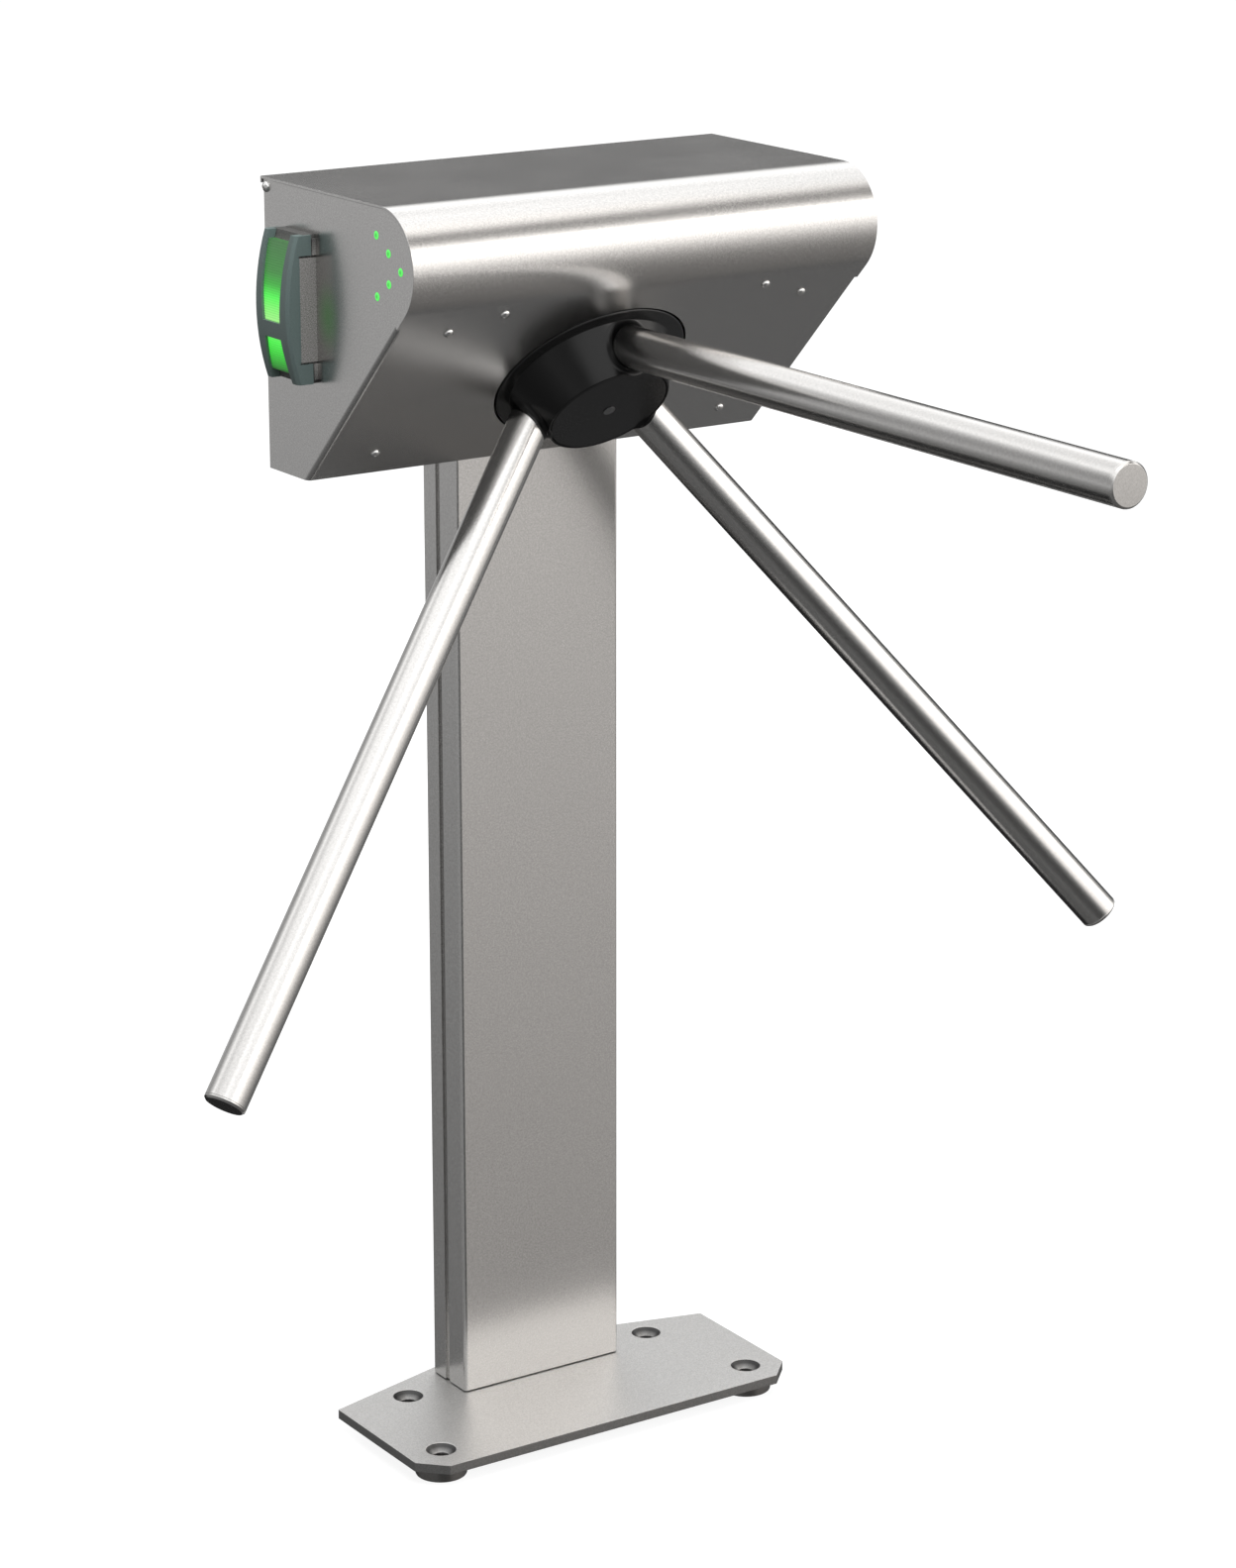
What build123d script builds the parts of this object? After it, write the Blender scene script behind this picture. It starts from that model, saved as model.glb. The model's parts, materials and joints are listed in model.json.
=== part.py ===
"""Tripod turnstile in millimetres: origin on the floor under the post, passage towards -Y, +Z up."""

import os
from math import acos, asin, cos, pi, radians, sin, sqrt, tan

from build123d import *

# Fits between pieces
slip = 0.2
running = 0.05
play = 0.3
overrun = 1.0

# Base plate, feet and cable bush
foot_radius = 20.75
foot_height = 12.0
base_thickness = 8.0
base_half_width = 178.5
base_front = 137.4
base_corner = 20.2
base_side_end = 3.7
base_rear = 36.8
base_rear_half = 55.0
anchor_radius = 6.5
anchor_sink_radius = 12.5
anchor_front_x = 148.1
anchor_front_y = -106.7
anchor_rear_x = 117.2
anchor_rear_y = -4.5
cable_radius = 15.0
bush_wall = 4.0
bush_collar = 4.0

# Post
post_length = 778.8
post_width = 150.0
post_depth = 50.0
post_sheet = 2.0
post_bend = 3.0
post_gap = 0.8
groove_width = 5.8
groove_y = 2.4
lip_reach = 12.0
lip_lap = 3.0
block_thickness = 10.0
block_front_gap = 4.0
foot_screw_x = 55.0
foot_screw_y = 11.0
screw_shank = 4.0
screw_head_radius = 6.5
screw_head_height = 5.0

# Head shell
head_half = 206.4
sheet = 2.0
edge_step = 0.4
slant_angle = 45.0
slant_length = 207.5
nose_radius = 44.6
toe_lead = 0.6
end_back = 32.2
top_back = 36.9
lip_drop = 4.9
corner_bend = 4.0
bend_length = 191.6

# Panel screws, named by their distance up the slant from its toe
side_screw_x = 158.0
side_screw_low = 27.2
side_screw_high = 180.4
inner_screw_x = 116.6
inner_screw_rise = 196.5
panel_shank = 3.0
panel_head_radius = 3.9
panel_head_height = 2.8

# Bottom plate and the bolts that hold the head on the post
floor_back = 31.7
keeper_height = 13.0
keeper_thickness = 1.5
keeper_gap = 0.6
keeper_half = 22.0
head_cable_radius = 17.0
head_bolt_outer_x = 60.0
head_bolt_inner_x = 36.0
head_bolt_y = 12.0
hex_sides = 6
hex_radius = 7.2
hex_height = 5.3

# Rear service cover and its key lock
cover_recess = 2.0
cover_gap = 0.6
cover_flange = 12.0
pivot_y = 28.0
pivot_drop = 7.1
pivot_radius = 2.5
pivot_head_radius = 4.2
pivot_head_height = 3.0
ear_radius = 4.6
cover_top_rise = 2.0
lock_rise = 37.0
lock_radius = 9.0
lock_collar_radius = 12.0
lock_collar = 1.7
lock_inset = 2.2
plug_radius = 6.45
key_slot_width = 1.6
key_slot_length = 8.0
key_slot_depth = 3.0
cam_thickness = 2.5
cam_half_width = 6.0
cam_reach = 28.0

# Hub and arms, heights counted outwards from the panel's face
hub_rise = 104.9
hub_radius = 77.6
hub_gap = 1.6
hub_depth = 24.0
boss_radius = 60.0
flange_depth = 8.0
rim_height = 1.0
rim_edge = 0.8
cone_radius = 66.5
face_height = 37.0
face_radius = 49.4
cap_land = 1.6
cap_groove = 0.5
cap_thickness = 2.0
cap_screw_radius = 4.8
cap_screw_head = 0.6
cap_screw_shank = 2.5
cap_screw_length = 12.0
arm_count = 3
first_arm_turn = 90.0
arm_tilt = 45.0
arm_radius = 16.0
arm_wall = 2.0
arm_length = 661.5
apex_depth = 38.8
socket_start = 44.0
arm_plug = 30.0
arm_bolt_seat = 31.0
arm_bolt_shank = 4.0
arm_bolt_length = 36.0
arm_bolt_head = 5.8
arm_bolt_height = 4.0
pocket_land = 1.0
arm_cap_thickness = 3.0
arm_cap_edge = 1.6
arm_cap_bevel = 45.0
arm_cap_spigot = 15.0
hub_bolt_circle = 46.0
hub_bolt_length = 20.0

# Chassis plate, spacers and bearing carrier
chassis_gap = 10.0
chassis_thickness = 6.0
chassis_half = 172.0
chassis_top_margin = 3.5
boss_gap = 4.0
chassis_foot_half = 72.0
chassis_foot_back = 22.0
spacer_radius = 7.0
carrier_flange = 8.0
carrier_wall = 8.0
carrier_land = 6.0
carrier_clear = 3.0
carrier_floor = 6.0
carrier_boss_radius = 36.0
carrier_screws_count = 6
bush_bore_wall = 4.0
bush_flange_radius = 22.0
bush_flange = 2.0
bush_length = 17.0

# Rotor shaft and what it carries
shaft_radius = 13.0
shaft_flange_radius = 56.0
shaft_flange = 8.0
shaft_shoulder_radius = 18.0
shaft_end_radius = 11.0
shaft_end_past = 2.0
lock_disc_radius = 45.0
lock_disc_thickness = 4.0
lock_disc_lift = 2.0
lug_overhang = 15.0
lug_seat = 11.0
lug_angle = 15.0
lug_height = 8.0
disc_hub_radius = 20.0
disc_hub_past = 1.5
gear_teeth = 51
pinion_teeth = 17
tooth_module = 2.0
pressure_angle = 20.0
backlash = 0.25
root_depth = 1.25
gear_width = 8.0
gear_hub_radius = 18.0
gear_hub_past = 5.5
encoder_radius = 34.0
encoder_thickness = 1.5
encoder_window_angle = 20.0
encoder_window_depth = 5.0
nut_radius = 17.0
nut_height = 8.5

# Mechanism plate, motor, lock bolts and position sensor
carrier_length = 46.0
mechanism_thickness = 5.0
mechanism_half = 165.0
mechanism_rim = 2.8
mechanism_edge = 12.0
bush_gap = 2.0
pillar_x = 140.0
pillar_low = -50.0
pillar_high = 62.0
pillar_radius = 8.0
pillar_stud = 4.0
pillar_screw_length = 14.0
motor_size = 56.4
motor_corner = 5.0
motor_length = 36.0
motor_pilot_radius = 19.05
motor_pilot = 1.6
motor_screw_spacing = 47.14
motor_screw_shank = 2.4
motor_screw_head = 4.2
motor_screw_height = 3.0
motor_screw_reach = 6.0
motor_shaft_radius = 3.175
motor_shaft_inside = 8.0
pinion_extra = 0.5
bolt_radius = 4.25
bolt_drop = 13.25
bolt_stroke = 10.0
bolt_clear = 1.5
bolt_tail_gap = 2.0
bolt_collar_radius = 6.5
bolt_collar = 3.0
guide_lead = 4.5
guide_length = 14.0
guide_half = 11.0
guide_wall = 7.0
solenoid_gap = 4.0
solenoid_length = 48.0
solenoid_half = 13.0
solenoid_plate = 2.0
coil_radius = 8.7
sensor_angle = 150.0
sensor_post_gap = 4.0
sensor_post_width = 10.0
sensor_half = 8.0
sensor_reach = 6.0
sensor_slot_past = 12.0
sensor_jaw = 3.0
sensor_slot = 3.5
sensor_gear_gap = 1.5

# Control board on the inside of the right end plate
board_thickness = 1.6
board_y = -55.0
board_z_drop = 82.0
board_length = 110.0
board_height = 96.0
board_inset = 6.0
standoff_length = 8.0
standoff_radius = 4.0
terminal_depth = 12.0
terminal_height = 10.0
relay_size = 20.0
relay_depth = 15.0
chip_size = 14.0
chip_depth = 2.0

# Arrow lights in the end plates, named from the arrow's tip
light_radius = 3.15
light_play = 0.1
light_flange_radius = 4.5
light_flange = 2.0
arrow_y = -166.9
arrow_drop = 44.4
arrow_step_y = 16.8
arrow_step_z = 11.2
arrow_steps = 2
arrow_board_margin = 5.0

# Indicator module on each end plate
module_y = -20.3
module_rise = 133.6
module_width = 49.0
module_height = 111.6
module_end = 16.9
module_mid = 25.7
strap_thickness = 7.0
strap_bevel = 2.4
skirt_wall = 2.5
skirt_middle = 14.0
skirt_end = 3.9
block_half = 39.0
clip_gap = 0.8
clip_slit = 1.6
clip_slit_depth = 0.6
clip_end_gap = 3.0
opening_past = 8.9
upper_top = 6.3
upper_low = 66.1
lower_top = 78.5
lower_low = 104.3
upper_wide = 35.0
upper_narrow = 25.4
lower_narrow = 23.5
lower_wide = 33.0
window_recess = 2.0
led_bay_width = 32.0
led_bay_height = 92.0
led_bay_depth = 9.0
module_cable_radius = 5.0

# Places worked out from the sizes above
slant = radians(slant_angle)
base_top = foot_height + base_thickness
head_bottom = base_top + post_length
toe_y = -post_depth / 2 - toe_lead
nose_y = toe_y - slant_length * cos(slant) + nose_radius * sin(slant)
nose_z = head_bottom + slant_length * sin(slant) + nose_radius * cos(slant)
head_top = nose_z + nose_radius
end_face = head_half - edge_step
end_inner = end_face - sheet
hub_point = Vector(0, toe_y - hub_rise * cos(slant), head_bottom + hub_rise * sin(slant))
outward = Vector(0, -sin(slant), -cos(slant))
up_slant = Vector(0, -cos(slant), sin(slant))
panel = Plane(origin=hub_point, x_dir=(1, 0, 0), z_dir=outward)
axle = Plane(origin=hub_point, x_dir=(1, 0, 0), z_dir=-up_slant)
hub_axis = Axis(hub_point, outward)
floor_top = head_bottom + sheet
chassis_depth = sheet + chassis_gap
chassis_back = chassis_depth + chassis_thickness
hub_opening = hub_radius + hub_gap
chassis_opening = boss_radius + boss_gap
shaft_flange_back = hub_depth + shaft_flange
carrier_floor_depth = shaft_flange_back + screw_head_height + carrier_clear
mechanism_depth = carrier_floor_depth + carrier_length
mechanism_back = mechanism_depth + mechanism_thickness
tilt = radians(arm_tilt)


# Helpers that add to, or cut from, the piece that is being built
def rod(plane, radius, low, high, at=((0, 0),), mode=Mode.ADD):
    """Round bars between two heights over a plane."""
    with BuildSketch(plane.offset(low)) as face:
        with Locations(*at):
            Circle(radius)
    extrude(face.sketch, amount=high - low, mode=mode)


def slab(plane, across, along, low, high, mode=Mode.ADD):
    """A square-edged block between two heights over a plane."""
    with BuildSketch(plane.offset(low)) as face:
        with Locations((sum(across) / 2, sum(along) / 2)):
            Rectangle(across[1] - across[0], along[1] - along[0])
    extrude(face.sketch, amount=high - low, mode=mode)


def hexagon(plane, radius, low, high, at=((0, 0),)):
    """Hexagon heads between two heights over a plane."""
    with BuildSketch(plane.offset(low)) as face:
        with Locations(*at):
            RegularPolygon(radius, hex_sides)
    extrude(face.sketch, amount=high - low)


def outline(plane, points):
    """A face with straight edges."""
    with BuildSketch(plane) as face:
        with BuildLine():
            Polyline(*points, close=True)
        make_face()
    return face.sketch


def turned(points, mode=Mode.ADD):
    """A body turned about the hub axis from points of radius and height."""
    revolve(outline(axle, points), axis=hub_axis, mode=mode)


def both_ends(points, radius, low, high, mode=Mode.ADD):
    """Round bars across both ends of the head, between two distances from its middle."""
    for side in (-1, 1):
        with BuildSketch(Plane.YZ.offset(side * low)) as face:
            with Locations(*points):
                Circle(radius)
        extrude(face.sketch, amount=side * (high - low), mode=mode)


def around(count, radius, start=first_arm_turn):
    """Points on a circle about the hub axis."""
    turns = [radians(start + 360 * index / count) for index in range(count)]
    return [(radius * cos(turn), radius * sin(turn)) for turn in turns]


# Base plate
anchor_points = [
    (side * x, y)
    for side in (-1, 1)
    for x, y in ((anchor_front_x, anchor_front_y), (anchor_rear_x, anchor_rear_y))
]
foot_screws_at = [(x, y) for x in (-foot_screw_x, foot_screw_x) for y in (-foot_screw_y, foot_screw_y)]
foot_screw_seat = foot_height + screw_head_height
bush_radius = cable_radius + bush_wall
floor_plane = Plane.XY
half_outline = [
    (base_half_width - base_corner, -base_front),
    (base_half_width, base_corner - base_front),
    (base_half_width, base_side_end),
    (base_rear_half, base_rear),
]
with BuildPart() as base_plate:
    extrude(
        outline(
            floor_plane.offset(foot_height),
            half_outline + [(-x, y) for x, y in reversed(half_outline)],
        ),
        amount=base_thickness,
    )
    rod(floor_plane, anchor_radius, foot_height, base_top, anchor_points, Mode.SUBTRACT)
    for x, y in anchor_points:
        with BuildSketch(Plane((x, y, base_top), z_dir=(0, -1, 0), x_dir=(1, 0, 0))) as sink:
            with BuildLine():
                Polyline(
                    (0, 0),
                    (anchor_sink_radius, 0),
                    (anchor_radius, anchor_radius - anchor_sink_radius),
                    (0, anchor_radius - anchor_sink_radius),
                    close=True,
                )
            make_face()
        revolve(sink.sketch, axis=Axis((x, y, 0), (0, 0, 1)), mode=Mode.SUBTRACT)
    rod(floor_plane, bush_radius + slip, foot_height, base_top, mode=Mode.SUBTRACT)
    rod(floor_plane, screw_shank + slip, foot_height, base_top, foot_screws_at, Mode.SUBTRACT)
    rod(
        floor_plane,
        screw_head_radius + slip,
        foot_height,
        foot_screw_seat,
        foot_screws_at,
        Mode.SUBTRACT,
    )

with BuildPart() as base_feet:
    rod(floor_plane, foot_radius, 0, foot_height, anchor_points)
    rod(floor_plane, anchor_radius, 0, foot_height, anchor_points, Mode.SUBTRACT)

with BuildPart() as cable_bush:
    rod(floor_plane, bush_radius + bush_collar, 0, foot_height)
    rod(floor_plane, bush_radius, foot_height, base_top + block_thickness)
    rod(floor_plane, cable_radius, 0, base_top + block_thickness, mode=Mode.SUBTRACT)

with BuildPart() as foot_screws:
    rod(floor_plane, screw_head_radius, foot_height, foot_screw_seat, foot_screws_at)
    rod(floor_plane, screw_shank, foot_screw_seat, base_top + block_thickness, foot_screws_at)

# Post of two folded sheets, and the blocks that close its ends
post_inner_half = post_width / 2 - post_sheet
lip_half = post_inner_half - post_sheet
groove_back = groove_y + groove_width / 2
groove_front = groove_y - groove_width / 2
block_along = (block_front_gap - post_depth / 2 + post_sheet, post_depth / 2 - post_sheet)
block_across = (slip - lip_half, lip_half - slip)
post_foot_z = base_top + post_gap


def post_sheet_profile(along):
    """Cross-section of the post's sheet between two depths."""
    with BuildSketch(floor_plane.offset(post_foot_z)) as face:
        RectangleRounded(post_width, post_depth, post_bend)
        inner_bend = post_bend - post_sheet
        RectangleRounded(
            post_width - 2 * post_sheet,
            post_depth - 2 * post_sheet,
            inner_bend,
            mode=Mode.SUBTRACT,
        )
        with Locations((0, sum(along) / 2)):
            Rectangle(post_width, along[1] - along[0], mode=Mode.INTERSECT)
    return face.sketch


with BuildPart() as post_channel:
    extrude(post_sheet_profile((groove_back, post_depth / 2)), amount=head_bottom - post_foot_z)
    for side in (-1, 1):
        across = sorted((side * lip_half, side * post_inner_half))
        along = (groove_front - lip_reach, groove_back + lip_lap)
        slab(floor_plane, across, along, post_foot_z, head_bottom)

with BuildPart() as post_cover:
    extrude(post_sheet_profile((-post_depth / 2, groove_front)), amount=head_bottom - post_foot_z)

with BuildPart() as post_foot:
    slab(floor_plane, block_across, block_along, base_top, base_top + block_thickness)
    for radius, at in ((bush_radius + slip, ((0, 0),)), (screw_shank + slip, foot_screws_at)):
        rod(floor_plane, radius, base_top, base_top + block_thickness, at, Mode.SUBTRACT)

head_bolts_at = [
    (side * x, head_bolt_y) for side in (-1, 1) for x in (head_bolt_inner_x, head_bolt_outer_x)
]
chassis_foot_top = floor_top + chassis_thickness
block_low = head_bottom - block_thickness
with BuildPart() as post_head:
    slab(floor_plane, block_across, block_along, block_low, head_bottom)
    for radius, at in ((head_cable_radius, ((0, 0),)), (screw_shank + slip, head_bolts_at)):
        rod(floor_plane, radius, block_low, head_bottom, at, Mode.SUBTRACT)

with BuildPart() as head_bolts:
    rod(floor_plane, screw_shank, block_low, chassis_foot_top, head_bolts_at)
    hexagon(floor_plane, hex_radius, chassis_foot_top, chassis_foot_top + hex_height, head_bolts_at)


# Head shell: slant, nose and top in one sheet, closed by the end plates
def head_profile(inset, back, low, at=0.0):
    """Side outline of the head, drawn in from the slant, the nose and the top by an inset."""
    run = (low - head_bottom - inset * cos(slant)) / sin(slant)
    start = (toe_y - run * cos(slant) + inset * sin(slant), low)
    radius = nose_radius - inset
    tangent = (nose_y - radius * sin(slant), nose_z - radius * cos(slant))
    front = (nose_y - radius * cos(slant / 2), nose_z + radius * sin(slant / 2))
    crown = (nose_y, nose_z + radius)
    with BuildSketch(Plane.YZ.offset(at)) as face:
        with BuildLine():
            Line(start, tangent)
            ThreePointArc(tangent, front, crown)
            Polyline(crown, (back, crown[1]), (back, low), start)
        make_face()
    return face.sketch


side_screws_at = [
    (side * side_screw_x, rise - hub_rise)
    for side in (-1, 1)
    for rise in (side_screw_low, side_screw_high)
]
inner_screws_at = [(side * inner_screw_x, inner_screw_rise - hub_rise) for side in (-1, 1)]
panel_screws_at = side_screws_at + inner_screws_at
pivot_z = head_top - pivot_drop
arrow_z = head_top - arrow_drop
arrow_points = [
    (arrow_y + abs(step) * arrow_step_y, arrow_z + step * arrow_step_z)
    for step in range(-arrow_steps, arrow_steps + 1)
]
module_z = head_bottom + module_rise
toe_plane = Plane(origin=(0, toe_y, head_bottom), x_dir=(1, 0, 0), z_dir=up_slant)
bend_middle = end_face + (overrun - corner_bend) / 2
with BuildPart() as housing_shell:
    extrude(head_profile(0, top_back, head_bottom), amount=head_half, both=True)
    extrude(
        head_profile(sheet, top_back + overrun, head_bottom - overrun),
        amount=head_half + overrun,
        both=True,
        mode=Mode.SUBTRACT,
    )
    slab(
        floor_plane,
        (-head_half, head_half),
        (top_back - sheet, top_back),
        head_top - lip_drop,
        head_top,
    )
    for side in (-1, 1):
        extrude(head_profile(0, end_back, head_bottom, side * end_inner), amount=side * sheet)
        with BuildSketch(toe_plane.offset(-2 * corner_bend)) as bend:
            with Locations((side * bend_middle, (corner_bend - overrun) / 2)):
                Rectangle(corner_bend + overrun, corner_bend + overrun)
            with Locations((side * (end_face - corner_bend), corner_bend)):
                Circle(corner_bend, mode=Mode.SUBTRACT)
        extrude(bend.sketch, amount=bend_length + 2 * corner_bend, mode=Mode.SUBTRACT)
    rod(panel, hub_opening, -sheet - overrun, overrun, mode=Mode.SUBTRACT)
    rod(panel, panel_shank + slip, -sheet - overrun, overrun, panel_screws_at, Mode.SUBTRACT)
    for radius, points in (
        (light_radius + light_play, arrow_points),
        (pivot_radius + running, [(pivot_y, pivot_z)]),
        (module_cable_radius, [(module_y, module_z)]),
    ):
        both_ends(points, radius, end_inner - overrun, end_face + overrun, Mode.SUBTRACT)

dome_radius = (panel_head_radius**2 + panel_head_height**2) / (2 * panel_head_height)
dome_turn = asin(panel_head_radius / dome_radius) / 2
dome_shoulder = (
    dome_radius * sin(dome_turn),
    panel_head_height - dome_radius * (1 - cos(dome_turn)),
)
with BuildPart() as panel_screws:
    rod(panel, panel_shank, -chassis_back, 0, panel_screws_at)
    for x, v in panel_screws_at:
        seat = panel.from_local_coords((x, v, 0))
        with BuildSketch(Plane(origin=seat, x_dir=(1, 0, 0), z_dir=-up_slant)) as dome:
            with BuildLine():
                Line((0, 0), (panel_head_radius, 0))
                ThreePointArc((panel_head_radius, 0), dome_shoulder, (0, panel_head_height))
                Line((0, panel_head_height), (0, 0))
            make_face()
        revolve(dome.sketch, axis=Axis(seat, outward))

# Bottom plate and the keeper for the cover's lock
cover_back = end_back - cover_recess
cover_front = cover_back - sheet
keeper_back = cover_front - keeper_gap
toe_run = sheet / sin(slant)
with BuildPart() as bottom_plate:
    floor_profile = [
        (toe_y + toe_run, head_bottom),
        (floor_back, head_bottom),
        (floor_back, floor_top),
        (toe_y + toe_run - sheet / tan(slant), floor_top),
    ]
    extrude(outline(Plane.YZ, floor_profile), amount=end_inner, both=True)
    for radius, at in ((head_cable_radius, ((0, 0),)), (screw_shank + slip, head_bolts_at)):
        rod(floor_plane, radius, head_bottom, floor_top, at, Mode.SUBTRACT)

with BuildPart() as lock_keeper:
    slab(
        floor_plane,
        (-keeper_half, keeper_half),
        (keeper_back - keeper_thickness, keeper_back),
        floor_top,
        floor_top + keeper_height,
    )

# Rear service cover, hung on the two corner screws, with its key lock
cover_half = end_inner - cover_gap
cover_low = floor_top + cover_gap
cover_high = pivot_z + cover_top_rise
lock_z = head_bottom + lock_rise
lock_front = keeper_back - keeper_thickness - play
lock_plane = Plane(origin=(0, 0, lock_z), x_dir=(1, 0, 0), z_dir=(0, 1, 0))
with BuildPart() as rear_cover:
    slab(floor_plane, (-cover_half, cover_half), (cover_front, cover_back), cover_low, cover_high)
    for side in (-1, 1):
        across = sorted((side * cover_half, side * (cover_half - sheet)))
        slab(floor_plane, across, (cover_front - cover_flange, cover_front), cover_low, cover_high)
    both_ends([(pivot_y, pivot_z)], ear_radius, cover_half - sheet, cover_half)
    both_ends(
        [(pivot_y, pivot_z)],
        pivot_radius + running,
        cover_half - sheet - overrun,
        cover_half,
        Mode.SUBTRACT,
    )
    rod(lock_plane, lock_radius + slip, cover_front, cover_back, mode=Mode.SUBTRACT)

with BuildPart() as cover_pivots:
    both_ends([(pivot_y, pivot_z)], pivot_radius, cover_half - sheet - overrun / 2, end_face)
    both_ends([(pivot_y, pivot_z)], pivot_head_radius, end_face, end_face + pivot_head_height)

lock_body_front = cover_front - lock_inset
with BuildPart() as cover_lock_body:
    rod(lock_plane, lock_radius, lock_body_front, cover_back)
    rod(lock_plane, lock_collar_radius, cover_back, cover_back + lock_collar)
    rod(
        lock_plane,
        plug_radius + running,
        lock_body_front,
        cover_back + lock_collar,
        mode=Mode.SUBTRACT,
    )

cam_back = min(lock_front, lock_body_front - play)
with BuildPart() as cover_lock_plug:
    rod(lock_plane, plug_radius, cam_back, cover_back + lock_collar)
    slab(
        lock_plane,
        (-cam_half_width, cam_reach),
        (-cam_half_width, cam_half_width),
        cam_back - cam_thickness,
        cam_back,
    )
    slab(
        lock_plane,
        (-key_slot_length / 2, key_slot_length / 2),
        (-key_slot_width / 2, key_slot_width / 2),
        cover_back + lock_collar - key_slot_depth,
        cover_back + lock_collar,
        Mode.SUBTRACT,
    )

# Hub with three slanted sockets, its cap, and the arms
apex = hub_point - outward * apex_depth
arm_turns = [radians(first_arm_turn + 360 * index / arm_count) for index in range(arm_count)]
arm_planes = [
    Plane(
        origin=apex,
        z_dir=outward * cos(tilt) + (Vector(1, 0, 0) * cos(turn) + up_slant * sin(turn)) * sin(tilt),
    )
    for turn in arm_turns
]
cap_radius = face_radius - cap_land - cap_groove
cap_seat = face_height - cap_thickness
arm_bolt_face = arm_bolt_seat - arm_bolt_height
hub_bolts_at = around(arm_count, hub_bolt_circle, first_arm_turn + 180 / arm_count)
pocket_seat = arm_bolt_seat - pocket_land
pocket_radius = (pocket_seat - (apex_depth - hub_depth) * cos(tilt)) / sin(tilt)
with BuildPart() as hub_body:
    turned(
        [
            (0, -hub_depth),
            (boss_radius, -hub_depth),
            (boss_radius, -flange_depth),
            (hub_radius, -flange_depth),
            (hub_radius, rim_height - rim_edge),
            (hub_radius - rim_edge, rim_height),
            (cone_radius, rim_height),
            (face_radius, face_height),
            (face_radius - cap_land, face_height),
            (face_radius - cap_land, cap_seat),
            (0, cap_seat),
        ]
    )
    turned(
        [(0, -hub_depth), (pocket_radius, -hub_depth), (0, pocket_seat / cos(tilt) - apex_depth)],
        Mode.SUBTRACT,
    )
    for plane in arm_planes:
        rod(plane, arm_radius + slip, socket_start, arm_length, mode=Mode.SUBTRACT)
        rod(plane, arm_bolt_head + slip, arm_bolt_face, arm_bolt_seat, mode=Mode.SUBTRACT)
        rod(plane, arm_bolt_shank + slip, arm_bolt_seat, socket_start, mode=Mode.SUBTRACT)
    rod(panel, cap_screw_shank + slip, cap_seat - cap_screw_length, cap_seat, mode=Mode.SUBTRACT)
    rod(
        panel,
        screw_shank + slip,
        -hub_depth,
        hub_bolt_length - shaft_flange - hub_depth,
        hub_bolts_at,
        Mode.SUBTRACT,
    )

with BuildPart() as hub_cap:
    rod(panel, cap_radius, cap_seat, face_height)
    rod(panel, cap_screw_shank + slip, cap_seat, face_height, mode=Mode.SUBTRACT)

with BuildPart() as hub_cap_screw:
    rod(panel, cap_screw_shank, cap_seat - cap_screw_length, face_height)
    rod(panel, cap_screw_radius, face_height, face_height + cap_screw_head)

arm_end = arm_length - arm_cap_thickness
arms = []
for plane in arm_planes:
    with BuildPart() as arm:
        rod(plane, arm_radius, socket_start, arm_end)
        rod(plane, arm_radius - arm_wall, socket_start + arm_plug, arm_end, mode=Mode.SUBTRACT)
        rod(plane, arm_bolt_shank + slip, socket_start, socket_start + arm_plug, mode=Mode.SUBTRACT)
    arms.append(arm)

with BuildPart() as arm_caps:
    for plane in arm_planes:
        rod(plane, arm_radius - arm_wall - slip, arm_end - arm_cap_spigot, arm_end)
        rod(plane, arm_radius, arm_end, arm_length - arm_cap_edge)
        with BuildSketch(plane.offset(arm_length - arm_cap_edge)) as edge:
            Circle(arm_radius)
        extrude(edge.sketch, amount=arm_cap_edge, taper=arm_cap_bevel)

with BuildPart() as arm_bolts:
    for plane in arm_planes:
        hexagon(plane, arm_bolt_head, arm_bolt_face, arm_bolt_seat)
        rod(plane, arm_bolt_shank, arm_bolt_seat, arm_bolt_seat + arm_bolt_length)

# Rotor shaft and the bolts that hold the hub on it
bush_front = carrier_floor_depth - bush_flange
bush_back = mechanism_depth + bush_flange
stack_front = bush_back + play
disc_front = mechanism_back + lock_disc_lift
disc_back = disc_front + lock_disc_thickness
lug_back = disc_back + lug_height
gear_front = lug_back + disc_hub_past
gear_back = gear_front + gear_width
encoder_front = gear_back + gear_hub_past
nut_front = encoder_front + encoder_thickness
nut_back = nut_front + nut_height
shaft_back = nut_back + shaft_end_past
with BuildPart() as rotor_shaft:
    turned(
        [
            (0, -hub_depth),
            (shaft_flange_radius, -hub_depth),
            (shaft_flange_radius, -shaft_flange_back),
            (shaft_shoulder_radius, -shaft_flange_back),
            (shaft_shoulder_radius, play - bush_front),
            (shaft_radius, play - bush_front),
            (shaft_radius, -stack_front),
            (shaft_end_radius, -stack_front),
            (shaft_end_radius, -shaft_back),
            (0, -shaft_back),
        ]
    )
    rod(panel, screw_shank + slip, -shaft_flange_back, -hub_depth, hub_bolts_at, Mode.SUBTRACT)

with BuildPart() as hub_bolts:
    rod(panel, screw_shank, -shaft_flange_back, hub_bolt_length - shaft_flange_back, hub_bolts_at)
    rod(
        panel,
        screw_head_radius,
        -shaft_flange_back - screw_head_height,
        -shaft_flange_back,
        hub_bolts_at,
    )

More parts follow.
